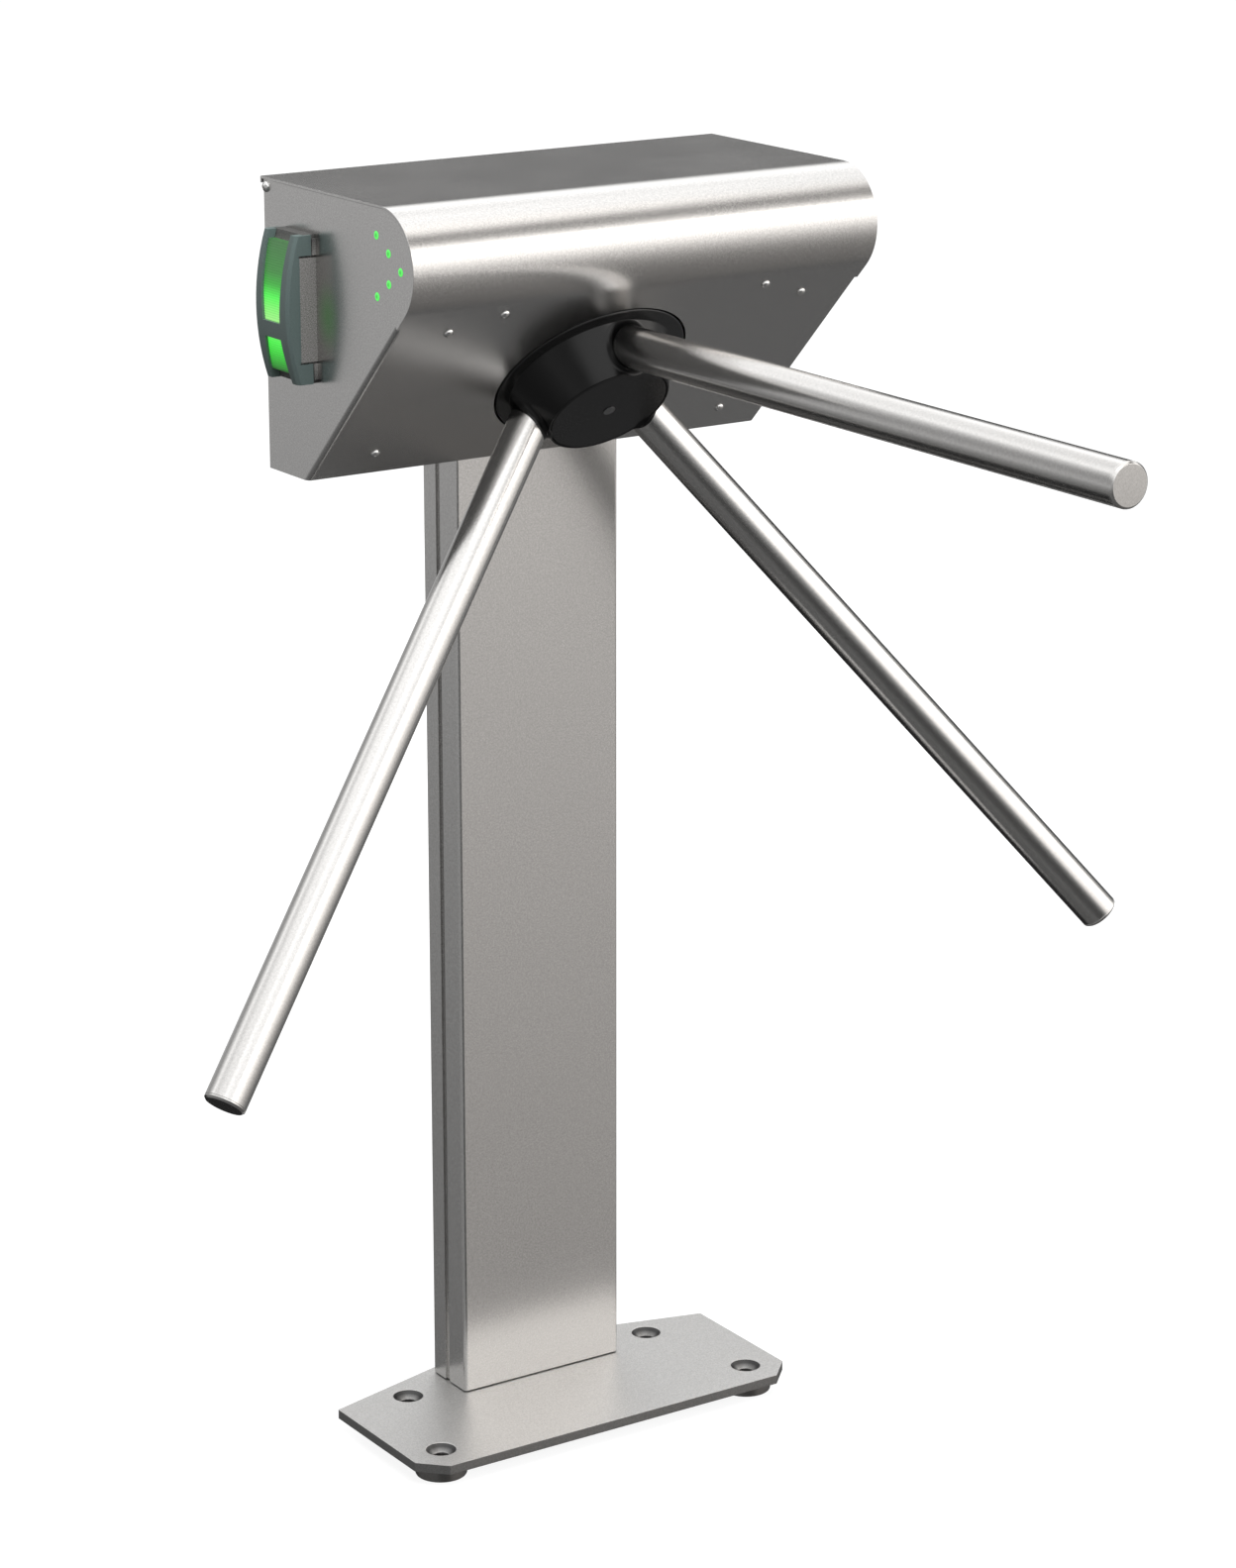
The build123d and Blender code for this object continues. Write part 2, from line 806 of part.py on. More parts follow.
# Chassis plate behind the panel, its spacers, and the bearing carrier
chassis_low = sheet / sin(slant) - chassis_back / tan(slant) - hub_rise
chassis_high = slant_length - chassis_top_margin - hub_rise
carrier_screw_circle = chassis_opening + carrier_wall + carrier_land
carrier_radius = carrier_screw_circle + carrier_land
carrier_screws_at = around(carrier_screws_count, carrier_screw_circle)
pillars_at = [(x, v) for x in (-pillar_x, pillar_x) for v in (pillar_low, pillar_high)]
foot_front = toe_y + chassis_depth / sin(slant) - sheet / tan(slant)
with BuildPart() as chassis_plate:
    slab(
        panel,
        (-chassis_half, chassis_half),
        (chassis_low, chassis_high),
        -chassis_back,
        -chassis_depth,
    )
    slab(
        floor_plane,
        (-chassis_foot_half, chassis_foot_half),
        (foot_front, chassis_foot_back),
        floor_top,
        chassis_foot_top,
    )
    slab(
        floor_plane,
        (-chassis_half - overrun, chassis_half + overrun),
        (toe_y, end_back),
        floor_top - block_thickness,
        floor_top,
        Mode.SUBTRACT,
    )
    rod(panel, chassis_opening, -chassis_back, -chassis_depth, mode=Mode.SUBTRACT)
    rod(panel, panel_shank + slip, -chassis_back, -chassis_depth, panel_screws_at, Mode.SUBTRACT)
    rod(panel, panel_shank + slip, -chassis_back, -chassis_depth, carrier_screws_at, Mode.SUBTRACT)
    rod(panel, pillar_stud + slip, -chassis_back, -chassis_depth, pillars_at, Mode.SUBTRACT)
    for radius, at in ((head_cable_radius, ((0, 0),)), (screw_shank + slip, head_bolts_at)):
        rod(floor_plane, radius, floor_top, chassis_foot_top, at, Mode.SUBTRACT)

with BuildPart() as chassis_spacers:
    rod(panel, spacer_radius, -chassis_depth, -sheet, panel_screws_at)
    rod(panel, panel_shank + slip, -chassis_depth, -sheet, panel_screws_at, Mode.SUBTRACT)

carrier_bore = shaft_radius + running + bush_bore_wall
carrier_flange_back = chassis_back + carrier_flange
with BuildPart() as bearing_carrier:
    turned(
        [
            (carrier_bore, -carrier_floor_depth),
            (chassis_opening, -carrier_floor_depth),
            (chassis_opening, -chassis_back),
            (carrier_radius, -chassis_back),
            (carrier_radius, -carrier_flange_back),
            (chassis_opening + carrier_wall, -carrier_flange_back),
            (chassis_opening + carrier_wall, -carrier_floor_depth - carrier_floor),
            (carrier_boss_radius, -carrier_floor_depth - carrier_floor),
            (carrier_boss_radius, -mechanism_depth),
            (carrier_bore, -mechanism_depth),
        ]
    )
    rod(
        panel,
        panel_shank + slip,
        -carrier_flange_back,
        -chassis_back,
        carrier_screws_at,
        Mode.SUBTRACT,
    )

with BuildPart() as carrier_screws:
    rod(panel, panel_shank, -carrier_flange_back, -chassis_depth, carrier_screws_at)
    rod(
        panel,
        panel_head_radius,
        -carrier_flange_back - panel_head_height,
        -carrier_flange_back,
        carrier_screws_at,
    )

with BuildPart() as shaft_bushes:
    for seat, toward in ((carrier_floor_depth, 1), (mechanism_depth, -1)):
        turned(
            [
                (shaft_radius + running, -seat + toward * bush_flange),
                (bush_flange_radius, -seat + toward * bush_flange),
                (bush_flange_radius, -seat),
                (carrier_bore - running, -seat),
                (carrier_bore - running, -seat - toward * bush_length),
                (shaft_radius + running, -seat - toward * bush_length),
            ]
        )


# Lock disc, gear, encoder disc and nut on the shaft
def sector(turn, inner, outer, angle):
    """Corners of a wedge about the hub axis."""
    half = radians(angle / 2)
    spokes = ((inner, -half), (outer, -half), (outer, half), (inner, half))
    return [(radius * cos(turn + lean), radius * sin(turn + lean)) for radius, lean in spokes]


with BuildPart() as lock_disc:
    rod(panel, lock_disc_radius, -disc_back, -disc_front)
    rod(panel, disc_hub_radius, -gear_front, -stack_front)
    rod(panel, shaft_end_radius + running, -gear_front, -stack_front, mode=Mode.SUBTRACT)

lug_outer_radius = lock_disc_radius + lug_overhang
lug_inner_radius = lock_disc_radius - lug_seat
with BuildPart() as lock_lugs:
    for turn in arm_turns:
        corners = sector(turn, lug_inner_radius, lug_outer_radius, lug_angle)
        extrude(outline(panel.offset(-lug_back), corners), amount=lug_height)


def gear_outline(teeth, start):
    """Points of an involute gear with a tooth at the start angle."""
    pressure = radians(pressure_angle)
    pitch = tooth_module * teeth / 2
    base = pitch * cos(pressure)
    root = pitch - root_depth * tooth_module
    foot = max(root, base)
    tip = pitch + tooth_module
    flank = [foot, (foot + pitch) / 2, pitch, (pitch + tip) / 2, tip]

    def half_angle(radius):
        """Half of the tooth's angle at a radius on its flank."""
        slope = acos(min(1, base / radius))
        thickness = (pi * tooth_module - backlash) / 2
        return thickness / (2 * pitch) + (tan(pressure) - pressure) - (tan(slope) - slope)

    rising = [(radius, half_angle(radius)) for radius in flank]
    if root < base:
        rising = [(root, half_angle(base))] + rising
    points = []
    for index in range(teeth):
        centre = start + 2 * pi * index / teeth
        turns = [(radius, centre - half) for radius, half in rising]
        turns += [(radius, centre + half) for radius, half in reversed(rising)]
        points += [(radius * cos(turn), radius * sin(turn)) for radius, turn in turns]
    return points


gear_distance = tooth_module * (gear_teeth + pinion_teeth) / 2
with BuildPart() as rotor_gear:
    extrude(outline(panel.offset(-gear_back), gear_outline(gear_teeth, pi / 2)), amount=gear_width)
    rod(panel, gear_hub_radius, -encoder_front, -gear_back)
    rod(panel, shaft_end_radius + running, -encoder_front, -gear_front, mode=Mode.SUBTRACT)

with BuildPart() as encoder_disc:
    rod(panel, encoder_radius, -nut_front, -encoder_front)
    for turn in arm_turns:
        corners = sector(
            turn,
            encoder_radius - encoder_window_depth,
            encoder_radius + encoder_window_depth,
            encoder_window_angle,
        )
        extrude(
            outline(panel.offset(-nut_front), corners),
            amount=encoder_thickness,
            mode=Mode.SUBTRACT,
        )
    rod(panel, shaft_end_radius + running, -nut_front, -encoder_front, mode=Mode.SUBTRACT)

with BuildPart() as shaft_nut:
    hexagon(panel, nut_radius, -nut_back, -nut_front)
    rod(panel, shaft_end_radius + running, -nut_back, -nut_front, mode=Mode.SUBTRACT)

# Mechanism plate on its pillars
motor_at = ((0, gear_distance),)
half_spacing = motor_screw_spacing / 2
motor_screws_at = [
    (x, gear_distance + v) for x in (-half_spacing, half_spacing) for v in (-half_spacing, half_spacing)
]
with BuildPart() as mechanism_plate:
    slab(
        panel,
        (-mechanism_half, mechanism_half),
        (pillar_low - mechanism_edge, gear_distance + motor_size / 2 + mechanism_rim),
        -mechanism_back,
        -mechanism_depth,
    )
    for radius, at in (
        (bush_flange_radius + bush_gap, ((0, 0),)),
        (motor_pilot_radius + slip, motor_at),
        (motor_screw_shank + slip, motor_screws_at),
        (panel_shank + slip, pillars_at),
    ):
        rod(panel, radius, -mechanism_back, -mechanism_depth, at, Mode.SUBTRACT)

pillar_hole = mechanism_depth - pillar_screw_length
with BuildPart() as mechanism_pillars:
    rod(panel, pillar_radius, -mechanism_depth, -chassis_back, pillars_at)
    rod(panel, pillar_stud, -chassis_back, -chassis_depth, pillars_at)
    rod(panel, panel_shank + slip, -mechanism_depth, -pillar_hole, pillars_at, Mode.SUBTRACT)

with BuildPart() as pillar_screws:
    rod(panel, panel_shank, -mechanism_back, -pillar_hole, pillars_at)
    rod(
        panel,
        panel_head_radius,
        -mechanism_back - panel_head_height,
        -mechanism_back,
        pillars_at,
    )

# Drive motor and its pinion
motor_front = mechanism_depth - motor_length
motor_bore_end = mechanism_depth - motor_shaft_inside
with BuildPart() as drive_motor:
    with BuildSketch(panel.offset(-mechanism_depth)) as can:
        with Locations(*motor_at):
            Rectangle(motor_size, motor_size)
        chamfer(can.vertices(), motor_corner)
    extrude(can.sketch, amount=motor_length)
    rod(panel, motor_pilot_radius, -mechanism_depth - motor_pilot, -mechanism_depth, motor_at)
    rod(
        panel,
        motor_shaft_radius + running,
        -mechanism_depth - motor_pilot,
        -motor_bore_end,
        motor_at,
        Mode.SUBTRACT,
    )
    rod(
        panel,
        motor_screw_shank + slip,
        -mechanism_depth,
        motor_screw_reach - mechanism_depth,
        motor_screws_at,
        Mode.SUBTRACT,
    )

with BuildPart() as motor_screws:
    rod(panel, motor_screw_shank, -mechanism_back, motor_screw_reach - mechanism_depth, motor_screws_at)
    rod(
        panel,
        motor_screw_head,
        -mechanism_back - motor_screw_height,
        -mechanism_back,
        motor_screws_at,
    )

pinion_plane = Plane(panel.from_local_coords((0, gear_distance, 0)), x_dir=(1, 0, 0), z_dir=outward)
pinion_back = gear_back + pinion_extra
pinion_width = gear_width + 2 * pinion_extra
with BuildPart() as motor_pinion:
    pinion_teeth_face = gear_outline(pinion_teeth, -pi / 2 + pi / pinion_teeth)
    extrude(outline(pinion_plane.offset(-pinion_back), pinion_teeth_face), amount=pinion_width)
    rod(pinion_plane, motor_shaft_radius, -pinion_back, -motor_bore_end - play)

# Solenoid lock bolts, left and right of the lock disc
bolt_depth = disc_back + lug_height / 2
bolt_tip = lug_outer_radius + bolt_clear
guide_start = bolt_tip + guide_lead
guide_end = guide_start + guide_length
solenoid_start = guide_end + solenoid_gap
solenoid_end = solenoid_start + solenoid_length
bolt_end = solenoid_end + bolt_stroke + bolt_tail_gap
bolt_plane = Plane(
    origin=panel.from_local_coords((0, -bolt_drop, -bolt_depth)), x_dir=up_slant, z_dir=(1, 0, 0)
)
guide_along = (-bolt_drop - guide_half, guide_half - bolt_drop)
solenoid_along = (-bolt_drop - solenoid_half, solenoid_half - bolt_drop)
strap_low = -bolt_depth - coil_radius - play - solenoid_plate
coil_start = solenoid_start + solenoid_plate
coil_end = solenoid_end - solenoid_plate
lock_bolts = []
for side in (-1, 1):
    with BuildPart() as lock_bolt:
        rod(bolt_plane, bolt_radius, side * bolt_tip, side * (bolt_end + bolt_collar))
        rod(bolt_plane, bolt_collar_radius, side * bolt_end, side * (bolt_end + bolt_collar))
    lock_bolts.append(lock_bolt)

with BuildPart() as bolt_guides:
    for side in (-1, 1):
        across = sorted((side * guide_start, side * guide_end))
        slab(panel, across, guide_along, -bolt_depth - guide_wall, -mechanism_back)
        rod(
            bolt_plane,
            bolt_radius + running,
            side * guide_start,
            side * guide_end,
            mode=Mode.SUBTRACT,
        )

with BuildPart() as solenoid_frames:
    for side in (-1, 1):
        ends = sorted((side * solenoid_start, side * solenoid_end))
        slab(panel, ends, solenoid_along, strap_low, strap_low + solenoid_plate)
        for start in (solenoid_start, coil_end):
            across = sorted((side * start, side * (start + solenoid_plate)))
            slab(panel, across, solenoid_along, strap_low, -mechanism_back)
        rod(
            bolt_plane,
            bolt_radius + play,
            side * solenoid_start,
            side * solenoid_end,
            mode=Mode.SUBTRACT,
        )

with BuildPart() as solenoid_coils:
    for side in (-1, 1):
        rod(bolt_plane, coil_radius, side * coil_start, side * coil_end)
        rod(
            bolt_plane,
            bolt_radius + play,
            side * coil_start,
            side * coil_end,
            mode=Mode.SUBTRACT,
        )

# Position sensor, a fork over the rim of the encoder disc
sensor_turn = radians(sensor_angle)
sensor_plane = Plane(
    origin=hub_point,
    x_dir=Vector(1, 0, 0) * cos(sensor_turn) + up_slant * sin(sensor_turn),
    z_dir=outward,
)
sensor_top = -gear_back - sensor_gear_gap
sensor_slot_top = sensor_top - sensor_jaw
sensor_slot_low = sensor_slot_top - sensor_slot
sensor_low = sensor_slot_low - sensor_jaw
sensor_along = (-sensor_half, sensor_half)
sensor_post_start = lug_outer_radius + sensor_post_gap
sensor_post_end = sensor_post_start + sensor_post_width
sensor_tip = encoder_radius - sensor_reach
sensor_slot_end = encoder_radius + sensor_slot_past
with BuildPart() as position_sensor:
    slab(
        sensor_plane,
        (sensor_post_start, sensor_post_end),
        sensor_along,
        sensor_low,
        -mechanism_back,
    )
    slab(sensor_plane, (sensor_tip, sensor_post_end), sensor_along, sensor_low, sensor_top)
    slab(
        sensor_plane,
        (sensor_tip, sensor_slot_end),
        sensor_along,
        sensor_slot_low,
        sensor_slot_top,
        Mode.SUBTRACT,
    )

# Control board with its terminals, relays and processor
board_z = head_top - board_z_drop
board_back = end_inner - standoff_length
board_front = board_back - board_thickness
board_low_y = board_y - board_length / 2
board_high_y = board_y + board_length / 2
board_low_z = board_z - board_height / 2
board_high_z = board_z + board_height / 2
standoffs_at = [
    (y, z)
    for y in (board_low_y + board_inset, board_high_y - board_inset)
    for z in (board_low_z + board_inset, board_high_z - board_inset)
]
with BuildPart() as board_standoffs:
    rod(Plane.YZ, standoff_radius, board_back, end_inner, standoffs_at)

with BuildPart() as control_board:
    slab(Plane.YZ, (board_low_y, board_high_y), (board_low_z, board_high_z), board_front, board_back)
    terminal_along = (board_low_z, board_low_z + terminal_height)
    terminal_across = (board_low_y + 2 * board_inset, board_high_y - 2 * board_inset)
    slab(Plane.YZ, terminal_across, terminal_along, board_front - terminal_depth, board_front)
    for index in (0, 1):
        start = board_low_y + 2 * board_inset + index * (relay_size + board_inset)
        relay_low = board_high_z - 2 * board_inset - relay_size
        slab(
            Plane.YZ,
            (start, start + relay_size),
            (relay_low, relay_low + relay_size),
            board_front - relay_depth,
            board_front,
        )
    slab(
        Plane.YZ,
        (board_high_y - 2 * board_inset - chip_size, board_high_y - 2 * board_inset),
        (board_z - chip_size / 2, board_z + chip_size / 2),
        board_front - chip_depth,
        board_front,
    )

# Arrow lights and the boards behind them
light_back = end_inner - light_flange
with BuildPart() as arrow_lights:
    both_ends(arrow_points, light_radius, end_inner, end_face)
    both_ends(arrow_points, light_flange_radius, light_back, end_inner)

arrow_back = arrow_y + arrow_steps * arrow_step_y
arrow_half = arrow_steps * arrow_step_z + arrow_board_margin
arrow_across = (arrow_y - arrow_board_margin, arrow_back + arrow_board_margin)
arrow_along = (arrow_z - arrow_half, arrow_z + arrow_half)
with BuildPart() as arrow_boards:
    slab(Plane.YZ, arrow_across, arrow_along, light_back - board_thickness, light_back)
    mirror(about=Plane.YZ)

# Indicator modules: a base, an arched bezel with two openings, two windows and a light board
module_half = module_height / 2
module_sag = module_mid - module_end
arch_radius = (module_half**2 + module_sag**2) / (2 * module_sag)
module_plane = Plane(origin=(end_face, module_y, module_z), x_dir=(1, 0, 0), z_dir=(0, -1, 0))
face_plane = Plane.YZ.offset(end_face)


def arched(depth, width, half=module_half, mode=Mode.ADD):
    """The module's body up to an arch that lies a depth under the bezel's face."""
    reach = module_mid - arch_radius + sqrt((arch_radius - depth) ** 2 - half**2)
    with BuildSketch(module_plane) as face:
        with BuildLine():
            Line((0, -half), (reach, -half))
            ThreePointArc((reach, -half), (module_mid - depth, 0), (reach, half))
            Polyline((reach, half), (0, half), (0, -half))
        make_face()
    extrude(face.sketch, amount=width / 2, both=True, mode=mode)


def window_outline(start, end, start_width, end_width, gap):
    """A tapered opening between two distances from the module's top."""
    top = module_z + module_half - start - gap
    low = module_z + module_half - end + gap
    half_top = start_width / 2 - gap
    half_low = end_width / 2 - gap
    return outline(
        face_plane,
        [
            (module_y - half_top, top),
            (module_y + half_top, top),
            (module_y + half_low, low),
            (module_y - half_low, low),
        ],
    )


core_width = module_width - 2 * skirt_wall
clip_start = block_half + clip_slit
clip_end = module_half - clip_end_gap
full_across = (module_y - module_width / 2, module_y + module_width / 2)
with BuildPart() as indicator_bases:
    arched(strap_thickness + play, core_width - 2 * slip)
    slab(face_plane, full_across, (module_z - block_half, module_z + block_half), 0, skirt_middle)
    for low, high in ((clip_start, clip_end), (-clip_end, -clip_start)):
        slab(face_plane, full_across, (module_z + low, module_z + high), 0, skirt_end - clip_gap)
    slab(
        face_plane,
        (module_y - led_bay_width / 2, module_y + led_bay_width / 2),
        (module_z - led_bay_height / 2, module_z + led_bay_height / 2),
        0,
        led_bay_depth,
        Mode.SUBTRACT,
    )
    mirror(about=Plane.YZ)

with BuildPart() as indicator_bezels:
    arched(0, module_width)
    front_edges = indicator_bezels.edges().filter_by(GeomType.CIRCLE)
    chamfer(front_edges, strap_bevel)
    arched(strap_thickness, core_width, mode=Mode.SUBTRACT)
    for half, depth in (
        (module_half, skirt_end),
        (block_half, skirt_middle),
    ):
        slab(
            face_plane,
            full_across,
            (module_z - half, module_z + half),
            0,
            depth,
            Mode.SUBTRACT,
        )
    for low, high in ((block_half, clip_start), (-clip_start, -block_half)):
        slab(
            face_plane,
            full_across,
            (module_z + low, module_z + high),
            0,
            skirt_middle + clip_slit_depth,
            Mode.SUBTRACT,
        )
    for opening in (
        window_outline(-opening_past, upper_low, upper_wide, upper_narrow, 0),
        window_outline(lower_top, module_height + opening_past, lower_narrow, lower_wide, 0),
    ):
        extrude(opening, amount=module_mid, mode=Mode.SUBTRACT)
    mirror(about=Plane.YZ)


def window(start, end, start_width, end_width):
    """An arched light window that fills its opening in the bezel up to a recess."""
    arched(window_recess, module_width)
    arched(strap_thickness, module_width, mode=Mode.SUBTRACT)
    extrude(
        window_outline(start, end, start_width, end_width, slip),
        amount=module_mid,
        mode=Mode.INTERSECT,
    )
    mirror(about=Plane.YZ)


upper_share = (upper_top + opening_past) / (upper_low + opening_past)
upper_top_width = upper_wide + (upper_narrow - upper_wide) * upper_share
with BuildPart() as indicator_upper_windows:
    window(upper_top, upper_low, upper_top_width, upper_narrow)

lower_share = (lower_low - lower_top) / (module_height + opening_past - lower_top)
lower_low_width = lower_narrow + (lower_wide - lower_narrow) * lower_share
with BuildPart() as indicator_lower_windows:
    window(lower_top, lower_low, lower_narrow, lower_low_width)

with BuildPart() as indicator_boards:
    slab(
        face_plane,
        (module_y - led_bay_width / 2 + slip, module_y + led_bay_width / 2 - slip),
        (module_z - led_bay_height / 2 + slip, module_z + led_bay_height / 2 - slip),
        led_bay_depth - board_thickness,
        led_bay_depth,
    )
    mirror(about=Plane.YZ)

# One file for each named piece
pieces = {
    "base_plate": base_plate,
    "base_feet": base_feet,
    "cable_bush": cable_bush,
    "foot_screws": foot_screws,
    "post_channel": post_channel,
    "post_cover": post_cover,
    "post_foot": post_foot,
    "post_head": post_head,
    "head_bolts": head_bolts,
    "housing_shell": housing_shell,
    "panel_screws": panel_screws,
    "bottom_plate": bottom_plate,
    "lock_keeper": lock_keeper,
    "rear_cover": rear_cover,
    "cover_pivots": cover_pivots,
    "cover_lock_body": cover_lock_body,
    "cover_lock_plug": cover_lock_plug,
    "hub_body": hub_body,
    "hub_cap": hub_cap,
    "hub_cap_screw": hub_cap_screw,
    "arm_level": arms[0],
    "arm_left": arms[1],
    "arm_right": arms[2],
    "arm_caps": arm_caps,
    "arm_bolts": arm_bolts,
    "rotor_shaft": rotor_shaft,
    "hub_bolts": hub_bolts,
    "chassis_plate": chassis_plate,
    "chassis_spacers": chassis_spacers,
    "bearing_carrier": bearing_carrier,
    "carrier_screws": carrier_screws,
    "shaft_bushes": shaft_bushes,
    "lock_disc": lock_disc,
    "lock_lugs": lock_lugs,
    "rotor_gear": rotor_gear,
    "encoder_disc": encoder_disc,
    "shaft_nut": shaft_nut,
    "mechanism_plate": mechanism_plate,
    "mechanism_pillars": mechanism_pillars,
    "pillar_screws": pillar_screws,
    "drive_motor": drive_motor,
    "motor_screws": motor_screws,
    "motor_pinion": motor_pinion,
    "lock_bolt_left": lock_bolts[0],
    "lock_bolt_right": lock_bolts[1],
    "bolt_guides": bolt_guides,
    "solenoid_frames": solenoid_frames,
    "solenoid_coils": solenoid_coils,
    "position_sensor": position_sensor,
    "control_board": control_board,
    "board_standoffs": board_standoffs,
    "arrow_lights": arrow_lights,
    "arrow_boards": arrow_boards,
    "indicator_bases": indicator_bases,
    "indicator_bezels": indicator_bezels,
    "indicator_upper_windows": indicator_upper_windows,
    "indicator_lower_windows": indicator_lower_windows,
    "indicator_boards": indicator_boards,
}
os.makedirs("parts", exist_ok=True)
for name, piece in pieces.items():
    piece.part.label = name
    export_step(piece.part, f"parts/{name}.step")
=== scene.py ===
"""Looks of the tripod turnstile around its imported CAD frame: metres, +Z up, passage towards -Y."""

import json
from math import cos, pi, radians, sin

import bmesh
import bpy
from mathutils import Matrix, Vector


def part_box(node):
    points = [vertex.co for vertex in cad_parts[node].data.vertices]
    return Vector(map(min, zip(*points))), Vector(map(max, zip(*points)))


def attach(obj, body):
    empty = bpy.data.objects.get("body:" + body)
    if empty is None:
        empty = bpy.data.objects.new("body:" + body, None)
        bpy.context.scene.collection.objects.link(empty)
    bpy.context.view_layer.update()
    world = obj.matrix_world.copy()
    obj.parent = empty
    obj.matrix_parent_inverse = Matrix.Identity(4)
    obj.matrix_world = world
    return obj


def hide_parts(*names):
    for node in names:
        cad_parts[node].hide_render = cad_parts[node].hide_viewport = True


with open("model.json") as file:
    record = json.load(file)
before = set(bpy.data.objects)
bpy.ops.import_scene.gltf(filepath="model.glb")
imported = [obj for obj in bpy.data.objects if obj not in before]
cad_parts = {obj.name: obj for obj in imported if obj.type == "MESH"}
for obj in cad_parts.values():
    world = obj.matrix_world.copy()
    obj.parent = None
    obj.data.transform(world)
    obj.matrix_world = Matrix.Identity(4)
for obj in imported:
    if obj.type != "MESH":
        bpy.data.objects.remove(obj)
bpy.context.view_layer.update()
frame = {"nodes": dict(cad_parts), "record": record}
nodes = frame["nodes"]
record = frame["record"]
slot_of = {row["node"]: row["material_slot"] for row in record["subparts"]}
body_of = {node: body for body, rows in record["behaviour"]["bodies"].items() for node in rows}
MM = 0.001

# Places and sizes that the scene shares with the CAD part
panel_slope = radians(45)
panel_toe = Vector((0, -25.6, 798.8)) * MM
up_slant = Vector((0, -cos(panel_slope), sin(panel_slope)))
hub_point = Vector((0, -99.7755, 872.9755)) * MM
hub_out = Vector((0, -sin(panel_slope), -cos(panel_slope)))
hub_rim_height = 1.0 * MM
cone_middle_height = 19.1 * MM
cone_middle_radius = 57.9 * MM
cone_slope = 0.476
arm_radius = 16.0 * MM
arm_apex_depth = 38.8 * MM
arm_apex = hub_point - hub_out * arm_apex_depth
arm_start = 44.0 * MM
arm_end = 658.5 * MM
arm_ways = {
    "arm_level": Vector((0, -1, 0)),
    "arm_left": Vector((-0.61237, -0.25, -0.75)),
    "arm_right": Vector((0.61237, -0.25, -0.75)),
}
end_face = 206 * MM
pivot_y, pivot_z = 28 * MM, 1014.6 * MM
arrow_tip_y, arrow_tip_z = -166.9 * MM, 977.3 * MM
arrow_step_y, arrow_step_z = 16.8 * MM, 11.2 * MM
lens_low, lens_high = 880 * MM, 985 * MM
lens_root = 212 * MM
key_height = 835.8 * MM
anchor_holes = ((148.1 * MM, -106.7 * MM), (117.2 * MM, -4.5 * MM))
base_top = 20 * MM
# Dome screws by their place across the panel and their rise up its slant from the toe
panel_screw_places = (
    (-158.0 * MM, 27.2 * MM), (-158.0 * MM, 180.4 * MM),
    (158.0 * MM, 27.2 * MM), (158.0 * MM, 180.4 * MM),
    (-116.6 * MM, 196.5 * MM), (116.6 * MM, 196.5 * MM),
)

# Sizes that only the looks have
light_crown = 0.5 * MM
ridge_pitch = 1.85 * MM
rib_depth = 0.22 * MM
smudge_size = 90 * MM
merge_reach = 0.002 * MM
tiny = 0.001 * MM


# Shader nodes
def new_finish(name):
    """A material with its node tree and its shader."""
    finish = bpy.data.materials.new(name)
    finish.use_nodes = True
    tree = finish.node_tree
    return finish, tree, tree.nodes["Principled BSDF"]


def feed(tree, node, inputs):
    """Sets a node's inputs, or links them to the outputs of other nodes."""
    for key, value in inputs.items():
        if isinstance(value, bpy.types.NodeSocket):
            tree.links.new(value, node.inputs[key])
        else:
            node.inputs[key].default_value = value


def add(tree, kind, inputs=None, **settings):
    """A shader node with its settings and its inputs."""
    node = tree.nodes.new("ShaderNode" + kind)
    for key, value in settings.items():
        setattr(node, key, value)
    feed(tree, node, inputs or {})
    return node


def number(tree, operation, *values):
    """A number worked out from other numbers."""
    return add(tree, "Math", dict(enumerate(values)), operation=operation).outputs["Value"]


def vector(tree, operation, *values):
    """A vector worked out from other vectors."""
    return add(tree, "VectorMath", dict(enumerate(values)), operation=operation).outputs["Vector"]


def measure(tree, operation, *values):
    """A number measured from vectors, such as a length."""
    return add(tree, "VectorMath", dict(enumerate(values)), operation=operation).outputs["Value"]


def stretch(tree, value, start=0.0, end=1.0, low=0.0, high=1.0, soft=False):
    """A value that runs from low to high while another runs from start to end."""
    kind = "SMOOTHSTEP" if soft else "LINEAR"
    return add(tree, "MapRange", {
        "Value": value, "From Min": start, "From Max": end, "To Min": low, "To Max": high,
    }, interpolation_type=kind).outputs["Result"]


def own_place(tree):
    """Where a shaded point lies on its piece, in metres."""
    return add(tree, "TexCoord").outputs["Object"]


def split(tree, way):
    """The X, Y and Z of a vector."""
    parts = add(tree, "SeparateXYZ", {"Vector": way}).outputs
    return parts["X"], parts["Y"], parts["Z"]


def folded_place(tree):
    """The X, Y and Z of a shaded point, with the -X side folded over onto the +X side."""
    x, y, z = split(tree, own_place(tree))
    return number(tree, "ABSOLUTE", x), y, z


def grey(tone):
    """A colour with the same tone in all channels."""
    return (tone, tone, tone)


def blend_ramp(tree, factor, stops):
    """A colour ramp through stops of place and colour."""
    node = add(tree, "ValToRGB", {"Fac": factor})
    band = node.color_ramp
    while len(band.elements) < len(stops):
        band.elements.new(0.5)
    for element, (place, colour) in zip(band.elements, stops):
        element.position = place
        element.color = (*colour, 1)
    return node.outputs["Color"]


def tint(finish, share, colour):
    """Mixes a colour over a finish's own by a share."""
    tree = finish.node_tree
    base = tree.nodes["Principled BSDF"].inputs["Base Color"]
    mixed = add(tree, "MixRGB", {
        "Fac": share, "Color1": base.links[0].from_socket, "Color2": (*colour, 1),
    })
    tree.links.new(mixed.outputs["Color"], base)


